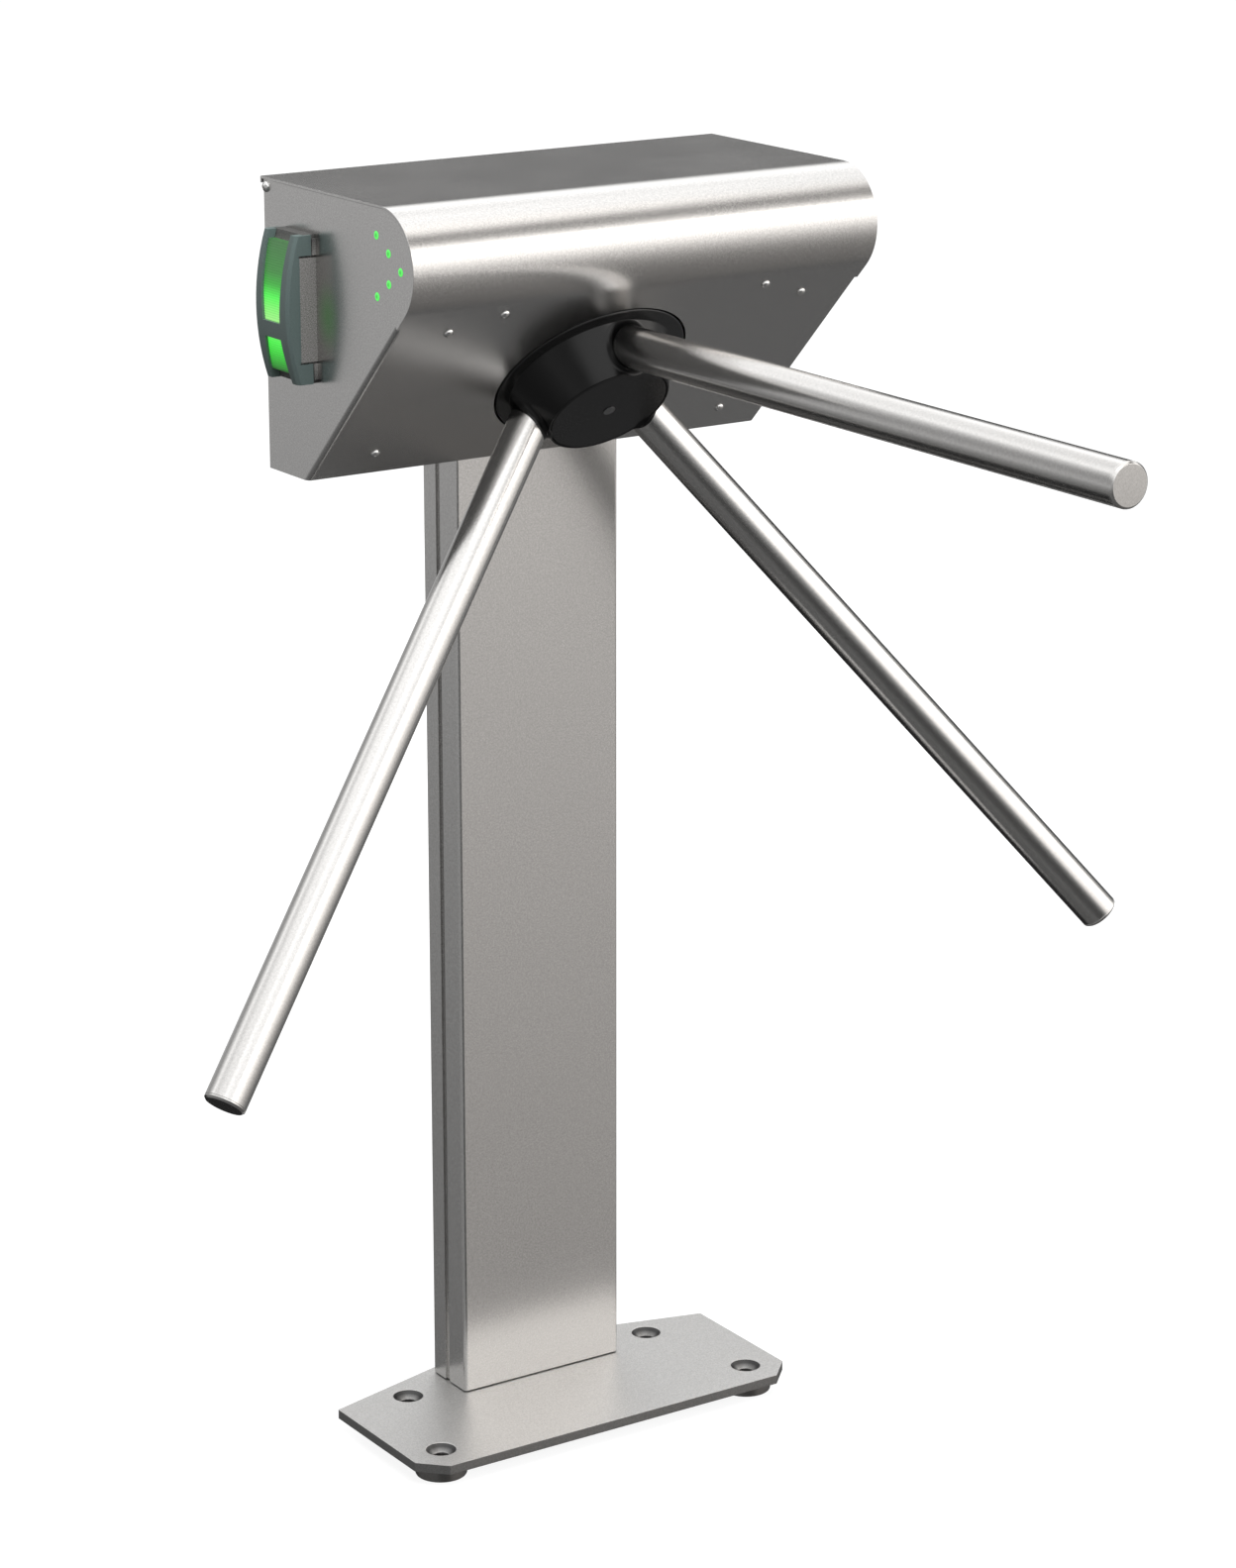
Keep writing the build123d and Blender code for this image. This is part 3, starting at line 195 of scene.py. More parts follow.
def speckle(tree, size, detail=2.0):
    """Noise with lumps of about one size, in metres."""
    return add(tree, "TexNoise", {
        "Vector": own_place(tree), "Scale": 1 / size, "Detail": detail, "Roughness": 0.5,
    }).outputs["Fac"]


def dents(tree, shader, height, depth):
    """Relief of a surface, with its depth in metres."""
    bump = add(tree, "Bump", {"Height": height, "Distance": depth, "Strength": 1.0})
    feed(tree, shader, {"Normal": bump.outputs["Normal"]})


# Finishes
def grained(name, colour, metal, rough, grain, depth, shade, rough_spread=0.05):
    """A finish with a fine grain in its tone and relief, and broad smudges in its gloss."""
    finish, tree, shader = new_finish(name)
    fine = speckle(tree, grain)
    broad = speckle(tree, smudge_size, detail=3.0)
    mean = number(tree, "MULTIPLY", number(tree, "ADD", fine, broad), 0.5)
    dark = [channel * (1 - shade) for channel in colour]
    light = [min(1.0, channel * (1 + shade)) for channel in colour]
    feed(tree, shader, {
        "Base Color": blend_ramp(tree, fine, ((0.3, dark), (0.7, light))),
        "Roughness": stretch(tree, mean, low=rough - rough_spread, high=rough + rough_spread),
        "Metallic": metal,
    })
    dents(tree, shader, fine, depth)
    return finish


def lit_lens(name):
    """Green lens lit from behind: hottest above the bezel's bar, dim at its ends, with ridges."""
    finish, tree, shader = new_finish(name)
    height = split(tree, own_place(tree))[2]
    rise = stretch(tree, height, lens_low, lens_high)
    grit = speckle(tree, 1.1 * MM)
    loose = number(tree, "ADD", stretch(tree, grit, low=-0.02, high=0.02), rise)
    glow = (
        (0.03, (0.01, 0.03, 0.01)), (0.06, (0.03, 0.25, 0.03)), (0.17, (0.05, 0.68, 0.05)),
        (0.25, (0.08, 0.95, 0.08)), (0.40, (0.38, 0.92, 0.26)), (0.57, (0.10, 0.95, 0.10)),
        (0.66, (0.05, 0.42, 0.05)), (0.75, (0.05, 0.22, 0.05)), (0.95, (0.05, 0.14, 0.05)),
    )
    dark, light = (0.01, 0.05, 0.01), (0.02, 0.09, 0.02)
    ridge = number(tree, "SINE", number(tree, "MULTIPLY", height, 2 * pi / ridge_pitch))
    feed(tree, shader, {
        "Emission Color": blend_ramp(tree, loose, glow),
        "Emission Strength": stretch(tree, ridge, start=-1, end=1, low=0.80, high=1.0),
        "Base Color": blend_ramp(tree, grit, ((0.3, dark), (0.7, light))),
        "Roughness": 0.35,
    })
    return finish


def lit_point(name):
    """Small green light, brightest in a ring inside its rim."""
    finish, tree, shader = new_finish(name)
    aside = folded_place(tree)[0]
    crown = stretch(tree, aside, end_face, end_face + light_crown)
    grit = speckle(tree, 1.0 * MM)
    loose = number(tree, "ADD", crown, stretch(tree, grit, low=-0.1, high=0.1))
    glow = (
        (0.0, (0.05, 0.60, 0.06)), (0.3, (0.14, 1.0, 0.16)),
        (0.75, (0.13, 0.95, 0.15)), (1.0, (0.04, 0.55, 0.05)),
    )
    feed(tree, shader, {
        "Emission Color": blend_ramp(tree, loose, glow),
        "Emission Strength": 0.95,
        "Base Color": (0.02, 0.12, 0.02, 1),
        "Roughness": 0.25,
    })
    return finish


def hub_gloss_painted_rim(name, rim, cone):
    """Glossy black that is paler on the flat rim against the panel than on the cone over it; the
    paler rim is painted light, for the sheen the flat rim catches.
    """
    finish, tree, shader = new_finish(name)
    fine = speckle(tree, 1.0 * MM)
    from_panel = vector(tree, "SUBTRACT", own_place(tree), hub_point)
    height = measure(tree, "DOT_PRODUCT", from_panel, hub_out)
    # Painted light: the flat rim, up to just above its height, takes the paler black
    above = stretch(tree, height, hub_rim_height, 1.5 * hub_rim_height)
    feed(tree, shader, {
        "Base Color": blend_ramp(tree, above, ((0.0, grey(rim)), (1.0, grey(cone)))),
        "Roughness": stretch(tree, fine, low=0.13, high=0.23),
        "Specular IOR Level": 0.32,
    })
    dents(tree, shader, fine, 0.003 * MM)
    return finish


def taped(name, colour):
    """Coil tape wound in turns along the coil."""
    finish, tree, shader = new_finish(name)
    turns = add(tree, "TexWave", {
        "Vector": own_place(tree), "Scale": 160.0, "Distortion": 0.4,
    }, bands_direction="X").outputs["Fac"]
    between = [channel * 0.55 for channel in colour]
    feed(tree, shader, {
        "Base Color": blend_ramp(tree, turns, ((0.1, between), (0.5, colour))),
        "Roughness": 0.4,
    })
    dents(tree, shader, turns, 0.1 * MM)
    return finish


def tracked(name, mask, track):
    """Solder mask over copper tracks."""
    finish, tree, shader = new_finish(name)
    cells = add(tree, "TexVoronoi", {
        "Vector": own_place(tree), "Scale": 260.0,
    }, distance="CHEBYCHEV", feature="F1").outputs["Distance"]
    stops = ((0.30, mask), (0.36, track), (0.52, track), (0.58, mask))
    feed(tree, shader, {"Base Color": blend_ramp(tree, cells, stops), "Roughness": 0.32})
    dents(tree, shader, cells, 0.05 * MM)
    return finish


def dark_edges_painted_sink_shade(finish, tone):
    """Darkens the base plate below its top face: darker on its cut edges, and darkest in the sinks
    of its anchor holes, where the darkening is painted shade.
    """
    tree = finish.node_tree
    sink_reach, top_skin = 20 * MM, 0.4 * MM
    shares = ((0.32, 0.40), (0.50, 0.95), (0.66, 0.95), (0.69, 0.58))
    aside, along, height = folded_place(tree)
    flat = add(tree, "CombineXYZ", {"X": aside, "Y": along}).outputs["Vector"]
    gaps = [measure(tree, "DISTANCE", flat, (*hole, 0)) for hole in anchor_holes]
    near = stretch(tree, number(tree, "MINIMUM", *gaps), end=sink_reach)
    # Painted shade: darkest in the sinks round the anchor holes, by a smaller share on the cut edges
    dark = blend_ramp(tree, near, [(place, grey(share)) for place, share in shares])
    under = number(tree, "LESS_THAN", height, base_top - top_skin)
    tint(finish, number(tree, "MULTIPLY", dark, under), grey(tone))


def dim_ends(finish, share):
    """Darkens the indicators' cores towards their top and bottom, where the bezel shades them."""
    tree = finish.node_tree
    shade_reach = 12 * MM
    middle, half = (lens_low + lens_high) / 2, (lens_high - lens_low) / 2
    height = split(tree, own_place(tree))[2]
    apart = number(tree, "ABSOLUTE", number(tree, "SUBTRACT", height, middle))
    level = stretch(tree, apart, half - shade_reach, half, high=share)
    tint(finish, level, (0.01, 0.012, 0.012))


def glow_beside(finish, light, shade):
    """Faint green light and shade that each indicator throws on the end plate beside it."""
    tree = finish.node_tree
    glow_middle, glow_reach = Vector((206, -61, 929)) * MM, 26 * MM
    oval_squeeze = (20.0, 1.3, 0.8)
    aside, along, height = folded_place(tree)
    folded = add(tree, "CombineXYZ", {"X": aside, "Y": along, "Z": height}).outputs["Vector"]
    oval = vector(tree, "MULTIPLY", vector(tree, "SUBTRACT", folded, glow_middle), oval_squeeze)
    reach = measure(tree, "LENGTH", oval)
    level = stretch(tree, reach, end=glow_reach, low=1.0, high=0.0, soft=True)
    feed(tree, tree.nodes["Principled BSDF"], {
        "Emission Color": (0.02, 1.0, 0.02, 1),
        "Emission Strength": stretch(tree, level, high=light),
    })
    tint(finish, stretch(tree, level, high=shade), grey(0.06))


# Grained finishes: colour, share of metal, roughness, grain size, depth and shade, wider spread
satin = ((0.600, 0.592, 0.582), 1.0, 0.25, 1.4 * MM, 0.016 * MM, 0.08)
grained_rows = {
    "satin_steel": satin,
    "plate_steel": satin,
    "arm_steel": ((0.610, 0.600, 0.588), 1.0, 0.21, 1.5 * MM, 0.005 * MM, 0.07),
    "base_steel": ((0.520, 0.515, 0.507), 1.0, 0.43, 1.2 * MM, 0.04 * MM, 0.14),
    "foot_metal": ((0.210, 0.204, 0.198), 1.0, 0.36, 1.2 * MM, 0.02 * MM, 0.06),
    "screw_steel": ((0.720, 0.715, 0.705), 1.0, 0.12, 1.2 * MM, 0.004 * MM, 0.04),
    "screw_grey": ((0.10, 0.10, 0.10), 0.3, 0.30, 0.6 * MM, 0.004 * MM, 0.1),
    "mechanism_steel": ((0.52, 0.52, 0.53), 0.6, 0.36, 4 * MM, 0.01 * MM, 0.12),
    "carrier_alloy": ((0.58, 0.58, 0.59), 0.6, 0.50, 1.6 * MM, 0.08 * MM, 0.10),
    "bush_bronze": ((0.52, 0.33, 0.13), 1.0, 0.34, 0.8 * MM, 0.02 * MM, 0.14),
    "lock_chrome": ((0.70, 0.70, 0.70), 1.0, 0.12, 1.0 * MM, 0.004 * MM, 0.03),
    "plug_steel": ((0.34, 0.34, 0.35), 1.0, 0.24, 0.8 * MM, 0.004 * MM, 0.05),
    # Painted shade for the inside of the lock's key slot
    "slot_painted_shade": ((0.004, 0.004, 0.004), 0.0, 0.8, 0.6 * MM, 0.01 * MM, 0.1),
    "cap_black": ((0.0020, 0.0020, 0.0022), 0.0, 0.26, 1.0 * MM, 0.003 * MM, 0.15),
    "motor_black": ((0.030, 0.030, 0.032), 0.0, 0.45, 1.4 * MM, 0.05 * MM, 0.2),
    "black_plastic": ((0.018, 0.018, 0.019), 0.0, 0.48, 0.9 * MM, 0.03 * MM, 0.2),
    "chip_black": ((0.015, 0.015, 0.016), 0.0, 0.40, 0.7 * MM, 0.02 * MM, 0.2),
    "relay_blue": ((0.02, 0.07, 0.22), 0.0, 0.35, 0.9 * MM, 0.01 * MM, 0.1),
    "terminal_green": ((0.03, 0.22, 0.07), 0.0, 0.45, 0.9 * MM, 0.02 * MM, 0.1),
    "indicator_grey": ((0.235, 0.230, 0.222), 0.0, 0.75, 0.8 * MM, 0.2 * MM, 0.60, 0.1),
    "bezel_teal": ((0.112, 0.152, 0.147), 0.0, 0.42, 0.9 * MM, 0.012 * MM, 0.06),
}
finishes = {name: grained(name, *row) for name, row in grained_rows.items()}
# Painted light: the hub's flat rim is given a paler black than its cone
finishes["hub_black"] = hub_gloss_painted_rim("hub_black", rim=0.016, cone=0.003)
finishes["coil_tape"] = taped("coil_tape", (0.62, 0.40, 0.06))
finishes["board_green"] = tracked("board_green", (0.012, 0.10, 0.035), (0.03, 0.19, 0.07))
finishes["light_green"] = lit_point("light_green")
finishes["lens_green"] = lit_lens("lens_green")
# Painted shade in the anchor holes' sinks, and darker cut edges on the base plate
dark_edges_painted_sink_shade(finishes["base_steel"], tone=0.05)
dim_ends(finishes["indicator_grey"], share=0.65)
glow_beside(finishes["plate_steel"], light=0.055, shade=0.4)

for name, node in nodes.items():
    node.data.materials.clear()
    node.data.materials.append(finishes[slot_of[name]])


# Making of pieces
def in_scene(name, data):
    """An object linked into the scene."""
    holder = bpy.data.objects.new(name, data)
    bpy.context.scene.collection.objects.link(holder)
    return holder


def mesh_of(shape, name):
    """A mesh made of a modelled shape."""
    mesh = bpy.data.meshes.new(name)
    shape.to_mesh(mesh)
    shape.free()
    return mesh


def shade_smooth(mesh):
    """Shades all faces of a mesh as one smooth skin."""
    mesh.polygons.foreach_set("use_smooth", [True] * len(mesh.polygons))


def finished_piece(shape, name, slot, body, stands_for, finish=None, crease=35.0):
    """Turns a modelled shape into a named piece that rides on a body in place of CAD nodes."""
    mesh = mesh_of(shape, name)
    if "custom_normal" in mesh.attributes:
        mesh.attributes.remove(mesh.attributes["custom_normal"])
    shade_smooth(mesh)
    mesh.set_sharp_from_angle(angle=radians(crease))
    mesh.materials.clear()
    mesh.materials.append(finishes[finish or slot])
    piece = in_scene(name, mesh)
    flat_faces = piece.modifiers.new("flat_faces", "WEIGHTED_NORMAL")
    flat_faces.keep_sharp = True
    flat_faces.weight = 100
    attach(piece, body)
    if stands_for:
        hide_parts(stands_for)
    return piece


def merged_copy(node):
    """A copy of a CAD node's mesh with its corners joined and its flat faces whole."""
    shape = bmesh.new()
    shape.from_mesh(nodes[node].data)
    bmesh.ops.remove_doubles(shape, verts=shape.verts, dist=merge_reach)
    bmesh.ops.dissolve_limit(
        shape, angle_limit=radians(0.4), verts=shape.verts, edges=shape.edges,
    )
    return shape


def sharp_edges(shape, shortest):
    """Edges longer than a length where two faces meet at a sharp angle."""
    sharp = radians(40)
    return [
        edge for edge in shape.edges
        if edge.is_manifold and edge.calc_length() > shortest and edge.calc_face_angle(0) > sharp
    ]


def ease(shape, edges, width, steps=2, clamp=True):
    """Rounds edges over, and splits the many-sided faces into clean triangles."""
    bmesh.ops.bevel(
        shape, geom=edges, offset=width, offset_type="OFFSET", segments=steps, profile=0.5,
        affect="EDGES", clamp_overlap=clamp, material=-1,
    )
    many_sided = [face for face in shape.faces if len(face.verts) > 4]
    bmesh.ops.triangulate(shape, faces=many_sided)
    bmesh.ops.dissolve_degenerate(shape, dist=tiny, edges=shape.edges)


def eased(node, width, steps=2, name=None, finish=None, shortest=0.0):
    """A CAD node's own form with its sharp edges eased."""
    shape = merged_copy(node)
    ease(shape, sharp_edges(shape, shortest), width, steps)
    return finished_piece(
        shape, name or node + "_eased", slot_of[node], body_of[node], node, finish,
    )


def turn_up(shape, profile, place, steps=32):
    """Spins a profile of radius and height about its axis, joins its seam and sets it in place."""
    old = set(shape.verts)
    points = [shape.verts.new((radius, 0, height)) for radius, height in profile]
    lines = [shape.edges.new(pair) for pair in zip(points, points[1:])]
    bmesh.ops.spin(
        shape, geom=points + lines, cent=(0, 0, 0), axis=(0, 0, 1), angle=2 * pi, steps=steps,
        use_merge=True,
    )
    spun = [vert for vert in shape.verts if vert not in old]
    bmesh.ops.remove_doubles(shape, verts=spun, dist=tiny)
    made = [vert for vert in shape.verts if vert not in old]
    faces = {face for vert in made for face in vert.link_faces}
    bmesh.ops.recalc_face_normals(shape, faces=list(faces))
    bmesh.ops.transform(shape, matrix=place, verts=made)
    return made


def place_along(point, direction):
    """A place at a point with its own +Z along a direction."""
    turn = Vector((0, 0, 1)).rotation_difference(direction)
    return Matrix.Translation(point) @ turn.to_matrix().to_4x4()


def end_place(side, y, z):
    """A place on the outside of an end plate, facing outwards."""
    return place_along(Vector((side * end_face, y, z)), Vector((side, 0, 0)))


def root_depth(node):
    """The depth at which a node's pieces start behind the end face, as a height below zero."""
    return min(abs(vert.co.x) for vert in nodes[node].data.vertices) - end_face


def dome_curve(radius, height, turns):
    """Points of radius and height up a dome, at angles up from its rim."""
    return [(radius * cos(radians(turn)), height * sin(radians(turn))) for turn in turns]


# Pieces of the head
def eased_shell():
    """The head's shell with the edge of its wrap eased where it stands proud of the end plates."""
    width, proud, shortest = 0.3 * MM, 0.3 * MM, 0.8 * MM
    shape = merged_copy("housing_shell")
    rim = [
        edge for edge in sharp_edges(shape, shortest)
        if min(abs(vert.co.x) for vert in edge.verts) > end_face + proud
    ]
    ease(shape, rim, width, clamp=False)
    return finished_piece(
        shape, "head_shell_eased", "satin_steel", "stand", "housing_shell", finish="plate_steel",
    )


def dome_screws():
    """Six dome screws in the slanted panel."""
    shape = bmesh.new()
    radius, height, shank, length, blunt = 3.9 * MM, 2.8 * MM, 3.0 * MM, 9 * MM, 0.4 * MM
    profile = [
        (0, -length), (shank - blunt, -length), (shank, blunt - length), (shank, 0), (radius, 0),
        *dome_curve(radius, height, range(10, 90, 10)), (0, height),
    ]
    for across, rise in panel_screw_places:
        point = panel_toe + up_slant * rise + Vector((across, 0, 0))
        turn_up(shape, profile, place_along(point, hub_out))
    return finished_piece(shape, "panel_dome_screws", "screw_steel", "stand", "panel_screws")


def pivot_screws():
    """Button-head screws with a round socket, on which the rear cover turns."""
    shape = bmesh.new()
    radius, height, shank, socket, blunt = 4.2 * MM, 3.0 * MM, 2.5 * MM, 1.6 * MM, 0.2 * MM
    root = root_depth("cover_pivots")
    wall = socket - blunt
    profile = [
        (0, root), (shank, root), (shank, 0), (radius, 0),
        *dome_curve(radius, height, range(10, 61, 10)),
        (socket, height), (wall, height - blunt), (wall, 0.4 * height), (0, 0.3 * height),
    ]
    for side in (-1, 1):
        turn_up(shape, profile, end_place(side, pivot_y, pivot_z))
    return finished_piece(shape, "pivot_button_screws", "screw_steel", "stand", "cover_pivots")


def arrow_domes():
    """Five domed lights in each end plate, set as an arrow."""
    shape = bmesh.new()
    radius, flange_radius, flange = 3.15 * MM, 4.5 * MM, 2.0 * MM
    root = root_depth("arrow_lights")
    profile = [
        (0, root), (flange_radius, root), (flange_radius, root + flange), (radius, root + flange),
        *dome_curve(radius, light_crown, range(0, 90, 15)), (0, light_crown),
    ]
    for side in (-1, 1):
        for step in (-2, -1, 0, 1, 2):
            y = arrow_tip_y + abs(step) * arrow_step_y
            z = arrow_tip_z + step * arrow_step_z
            turn_up(shape, profile, end_place(side, y, z), steps=24)
    return finished_piece(shape, "arrow_light_domes", "light_green", "stand", "arrow_lights")


def ribbed_lens(node, name):
    """An indicator window with fine level ribs across its face."""
    shape = merged_copy(node)
    low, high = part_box(node)
    pitch = ridge_pitch / 2
    count = int((high.z - low.z) / pitch)
    rows = [low.z + pitch * (index + 0.5) for index in range(count)]
    for row in rows:
        bmesh.ops.bisect_plane(
            shape, geom=shape.verts[:] + shape.edges[:] + shape.faces[:], dist=tiny,
            plane_co=(0, 0, row), plane_no=(0, 0, 1),
        )
    outer = (abs(low.x) + lens_root) / 2
    for vert in shape.verts:
        in_groove = any(abs(vert.co.z - row) < merge_reach for row in rows[::2])
        if in_groove and abs(vert.co.x) > outer:
            vert.co.x -= rib_depth if vert.co.x > 0 else -rib_depth
    return finished_piece(
        shape, name, "light_green", "stand", node, finish="lens_green", crease=20.0,
    )


def fitted_board():
    """The control board with its own finish on its terminals, relays and chip."""
    board_thickness, terminal_height, relay_rise = 1.8 * MM, 20 * MM, 12 * MM
    piece = eased("control_board", 0.4 * MM, name="fitted_control_board")
    low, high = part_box("control_board")
    board_face = high.x - board_thickness
    terminal_top = low.z + terminal_height
    relay_low = (low.z + high.z) / 2 + relay_rise
    for finish in ("terminal_green", "relay_blue", "chip_black"):
        piece.data.materials.append(finishes[finish])
    for face in piece.data.polygons:
        if face.center.x >= board_face:
            continue
        if face.center.z < terminal_top:
            face.material_index = 1
        elif face.center.z > relay_low:
            face.material_index = 2
        else:
            face.material_index = 3
    return piece


def slotted_plug():
    """The lock's plug with the inside of its key slot painted near black, as painted shade."""
    slot_half, slot_depth, face_skin = 4.1 * MM, 3.1 * MM, 0.25 * MM
    piece = eased("cover_lock_plug", 0.15 * MM, finish="plug_steel")
    face_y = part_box("cover_lock_plug")[1].y
    # Painted shade: the faces inside the key slot take a near-black finish
    piece.data.materials.append(finishes["slot_painted_shade"])
    for face in piece.data.polygons:
        aside = max(abs(face.center.x), abs(face.center.z - key_height))
        if face_skin < face_y - face.center.y < slot_depth and aside < slot_half:
            face.material_index = 1
    return piece


# Pieces of the rotor
def over_cone(point):
    """How far a point lies outside the hub's cone, along the radius."""
    offset = point - hub_point
    height = offset.dot(hub_out)
    radius = (offset - hub_out * height).length
    return radius + cone_slope * (height - cone_middle_height) - cone_middle_radius


def cone_height(foot, way):
    """How far along an arm's way from its foot a line leaves the hub's cone."""
    near, far, close_enough = 0.0, 4 * arm_apex_depth, 0.0005 * MM
    while far - near > close_enough:
        middle = (near + far) / 2
        if over_cone(foot + way * middle) < 0:
            near = middle
        else:
            far = middle
    return near


def arm_root_flares():
    """Hollow flares that lead the hub's cone into each arm."""
    shape = bmesh.new()
    bend, skin, root = 5.0 * MM, 0.05 * MM, 3.0 * MM
    inner, outer = arm_radius + skin, arm_radius + bend
    curve = [
        (inner + bend * (1 - sin(radians(turn))), bend * (1 - cos(radians(turn))))
        for turn in range(0, 91, 10)
    ]
    profile = [(inner, -root), (outer, -root), *curve, (inner, -root)]
    for way in arm_ways.values():
        for vert in turn_up(shape, profile, place_along(arm_apex, way), steps=48):
            height = (vert.co - arm_apex).dot(way)
            foot = vert.co - way * height
            vert.co = foot + way * (cone_height(foot, way) + height)
    return finished_piece(shape, "arm_root_flares", "hub_black", "rotor", None, crease=50.0)


def arm_tube(node, way):
    """A polished arm: a tube with a solid root that its bolt runs through."""
    shape = bmesh.new()
    blunt, bore, bolt_hole, root_length = 0.2 * MM, 14.0 * MM, 4.2 * MM, 30.0 * MM
    root_end = arm_start + root_length
    profile = [
        (bolt_hole, arm_start), (arm_radius - blunt, arm_start), (arm_radius, arm_start + blunt),
        (arm_radius, arm_end - blunt), (arm_radius - blunt, arm_end), (bore, arm_end),
        (bore, root_end), (bolt_hole, root_end), (bolt_hole, arm_start),
    ]
    turn_up(shape, profile, place_along(arm_apex, way), steps=96)
    return finished_piece(shape, node + "_tube", "satin_steel", "rotor", node, finish="arm_steel")


def arm_end_caps():
    """End caps of the arms, with a spigot in each tube and an eased bevel round the face."""
    shape = bmesh.new()
    spigot, spigot_radius, thickness = 15.0 * MM, 13.8 * MM, 3.0 * MM
    bevel, blunt = 1.6 * MM, 0.25 * MM
    corner = 0.3 * blunt
    tip = arm_end + thickness
    face_radius = arm_radius - bevel
    profile = [
        (0, arm_end - spigot), (spigot_radius, arm_end - spigot), (spigot_radius, arm_end),
        (arm_radius - blunt, arm_end), (arm_radius, arm_end + blunt),
        (arm_radius, tip - bevel - blunt), (arm_radius - corner, tip - bevel + corner),
        (face_radius + corner, tip - corner), (face_radius - blunt, tip), (0, tip),
    ]
    for way in arm_ways.values():
        turn_up(shape, profile, place_along(arm_apex, way), steps=96)
    return finished_piece(
        shape, "arm_end_caps", "satin_steel", "rotor", "arm_caps", finish="arm_steel",
    )


# Pieces of the base
def foot_pads():
    """Four round feet with a rounded toe and a turned rim, bored through for the anchors."""
    shape = bmesh.new()
    radius, height, rim, bore = 20.75 * MM, 12.0 * MM, 0.8 * MM, 6.5 * MM
    toe = ((1.6 * MM, 0), (0.5 * MM, 0.3 * MM), (0, 1.2 * MM))
    corner = 0.25 * rim
    profile = [
        (bore, 0), *((radius - inset, rise) for inset, rise in toe),
        (radius, height - rim), (radius - corner, height - corner), (radius - rim, height),
        (bore, height), (bore, 0),
    ]
    for x, y in anchor_holes:
        for side in (-1, 1):
            turn_up(shape, profile, Matrix.Translation((side * x, y, 0)), steps=64)
    return finished_piece(shape, "turned_feet", "foot_metal", "stand", "base_feet")


# All dressed pieces, with the width of their eased edges
eased("base_plate", 0.5 * MM)
eased("post_channel", 0.25 * MM)
eased("post_cover", 0.25 * MM)
eased_shell()
eased("hub_body", 0.5 * MM, shortest=2.5 * MM)
eased("hub_cap", 0.7 * MM, steps=3)
eased("hub_cap_screw", 0.2 * MM, finish="screw_grey")
eased("rear_cover", 0.4 * MM, shortest=4.0 * MM)
eased("indicator_bezels", 0.6 * MM)
eased("indicator_bases", 0.5 * MM)
eased("cover_lock_body", 0.3 * MM)
dome_screws()
pivot_screws()
arrow_domes()
foot_pads()
arm_root_flares()
for arm, way in arm_ways.items():
    arm_tube(arm, way)
arm_end_caps()
fitted_board()
slotted_plug()
ribbed_lens("indicator_upper_windows", "upper_lens")
ribbed_lens("indicator_lower_windows", "lower_lens")


# Studio
stage_reach = 30.0
head_middle = (0, 0, 0.9)
tent_peak = 4.0
neutral = (1.0, 1.0, 1.0)
warm = (1.0, 0.968, 0.938)
# Tone of the tent by elevation in degrees, all round
tent_all_round = (
    (-90, 0.11), (-55, 0.15), (-36, 0.17), (-28, 0.23), (-20, 0.33), (-14, 0.42), (-9, 0.58),
    (0, 0.50), (7, 0.42), (17, 0.46), (28, 0.90), (35, 1.70), (41, 1.25), (48, 0.90), (55, 1.60),
    (64, 1.70), (90, 1.60),
)
# Soft panels of the tent: bearing, inner and outer edge in degrees, tint, tone by elevation
tent_panels = (
    (45, (25, 44), warm, (
        (-90, 0.11), (-50, 0.21), (-38, 0.26), (-29, 0.32), (-19, 0.48), (-10, 0.80), (0, 1.35),
        (9, 1.90), (16, 2.10), (20, 4.00), (28, 4.00), (32, 1.50), (37, 0.55), (46, 0.10),
        (50, 0.60), (55, 2.00), (90, 1.70),
    )),
    (132, (24, 36), neutral, (
        (-90, 0.11), (-50, 0.17), (-24, 0.14), (3, 0.07), (14, 0.07), (20, 0.20), (26, 1.80),
        (40, 1.80), (47, 1.25), (54, 1.60), (60, 1.80), (90, 1.70),
    )),
    (345, (16, 34), neutral, (
        (-90, 0.11), (-50, 0.17), (-36, 0.10), (-22, 0.07), (-13, 0.14), (-3, 0.35), (7, 0.80),
        (16, 1.50), (31, 1.50), (41, 1.50), (50, 1.90), (60, 1.90), (90, 1.60),
    )),
    (182, (18, 32), neutral, (
        (-90, 0.05), (-62, 0.02), (-26, 0.02), (-14, 0.30), (-9, 0.58), (0, 0.50), (7, 0.42),
        (17, 0.46), (28, 0.90), (35, 1.70), (41, 1.25), (48, 0.90), (55, 1.60), (64, 1.70),
        (90, 1.60),
    )),
)


def bright_rays(tree):
    """1 for what the lens sees, metal mirrors or glass passes, and 0 for light on matt faces."""
    path = add(tree, "LightPath").outputs
    seen = number(tree, "MAXIMUM", path["Is Camera Ray"], path["Is Glossy Ray"])
    return number(tree, "MAXIMUM", seen, path["Is Transmission Ray"])


def lit_surface(name):
    """A material with no shader yet, that isn't sampled as a lamp, and its node tree."""
    finish, tree, shader = new_finish(name)
    tree.nodes.remove(shader)
    finish.cycles.emission_sampling = "NONE"
    return finish, tree


def cover_surface(tree, shader):
    """Sets the shader that a surface shows."""
    feed(tree, tree.nodes["Material Output"], {"Surface": shader})


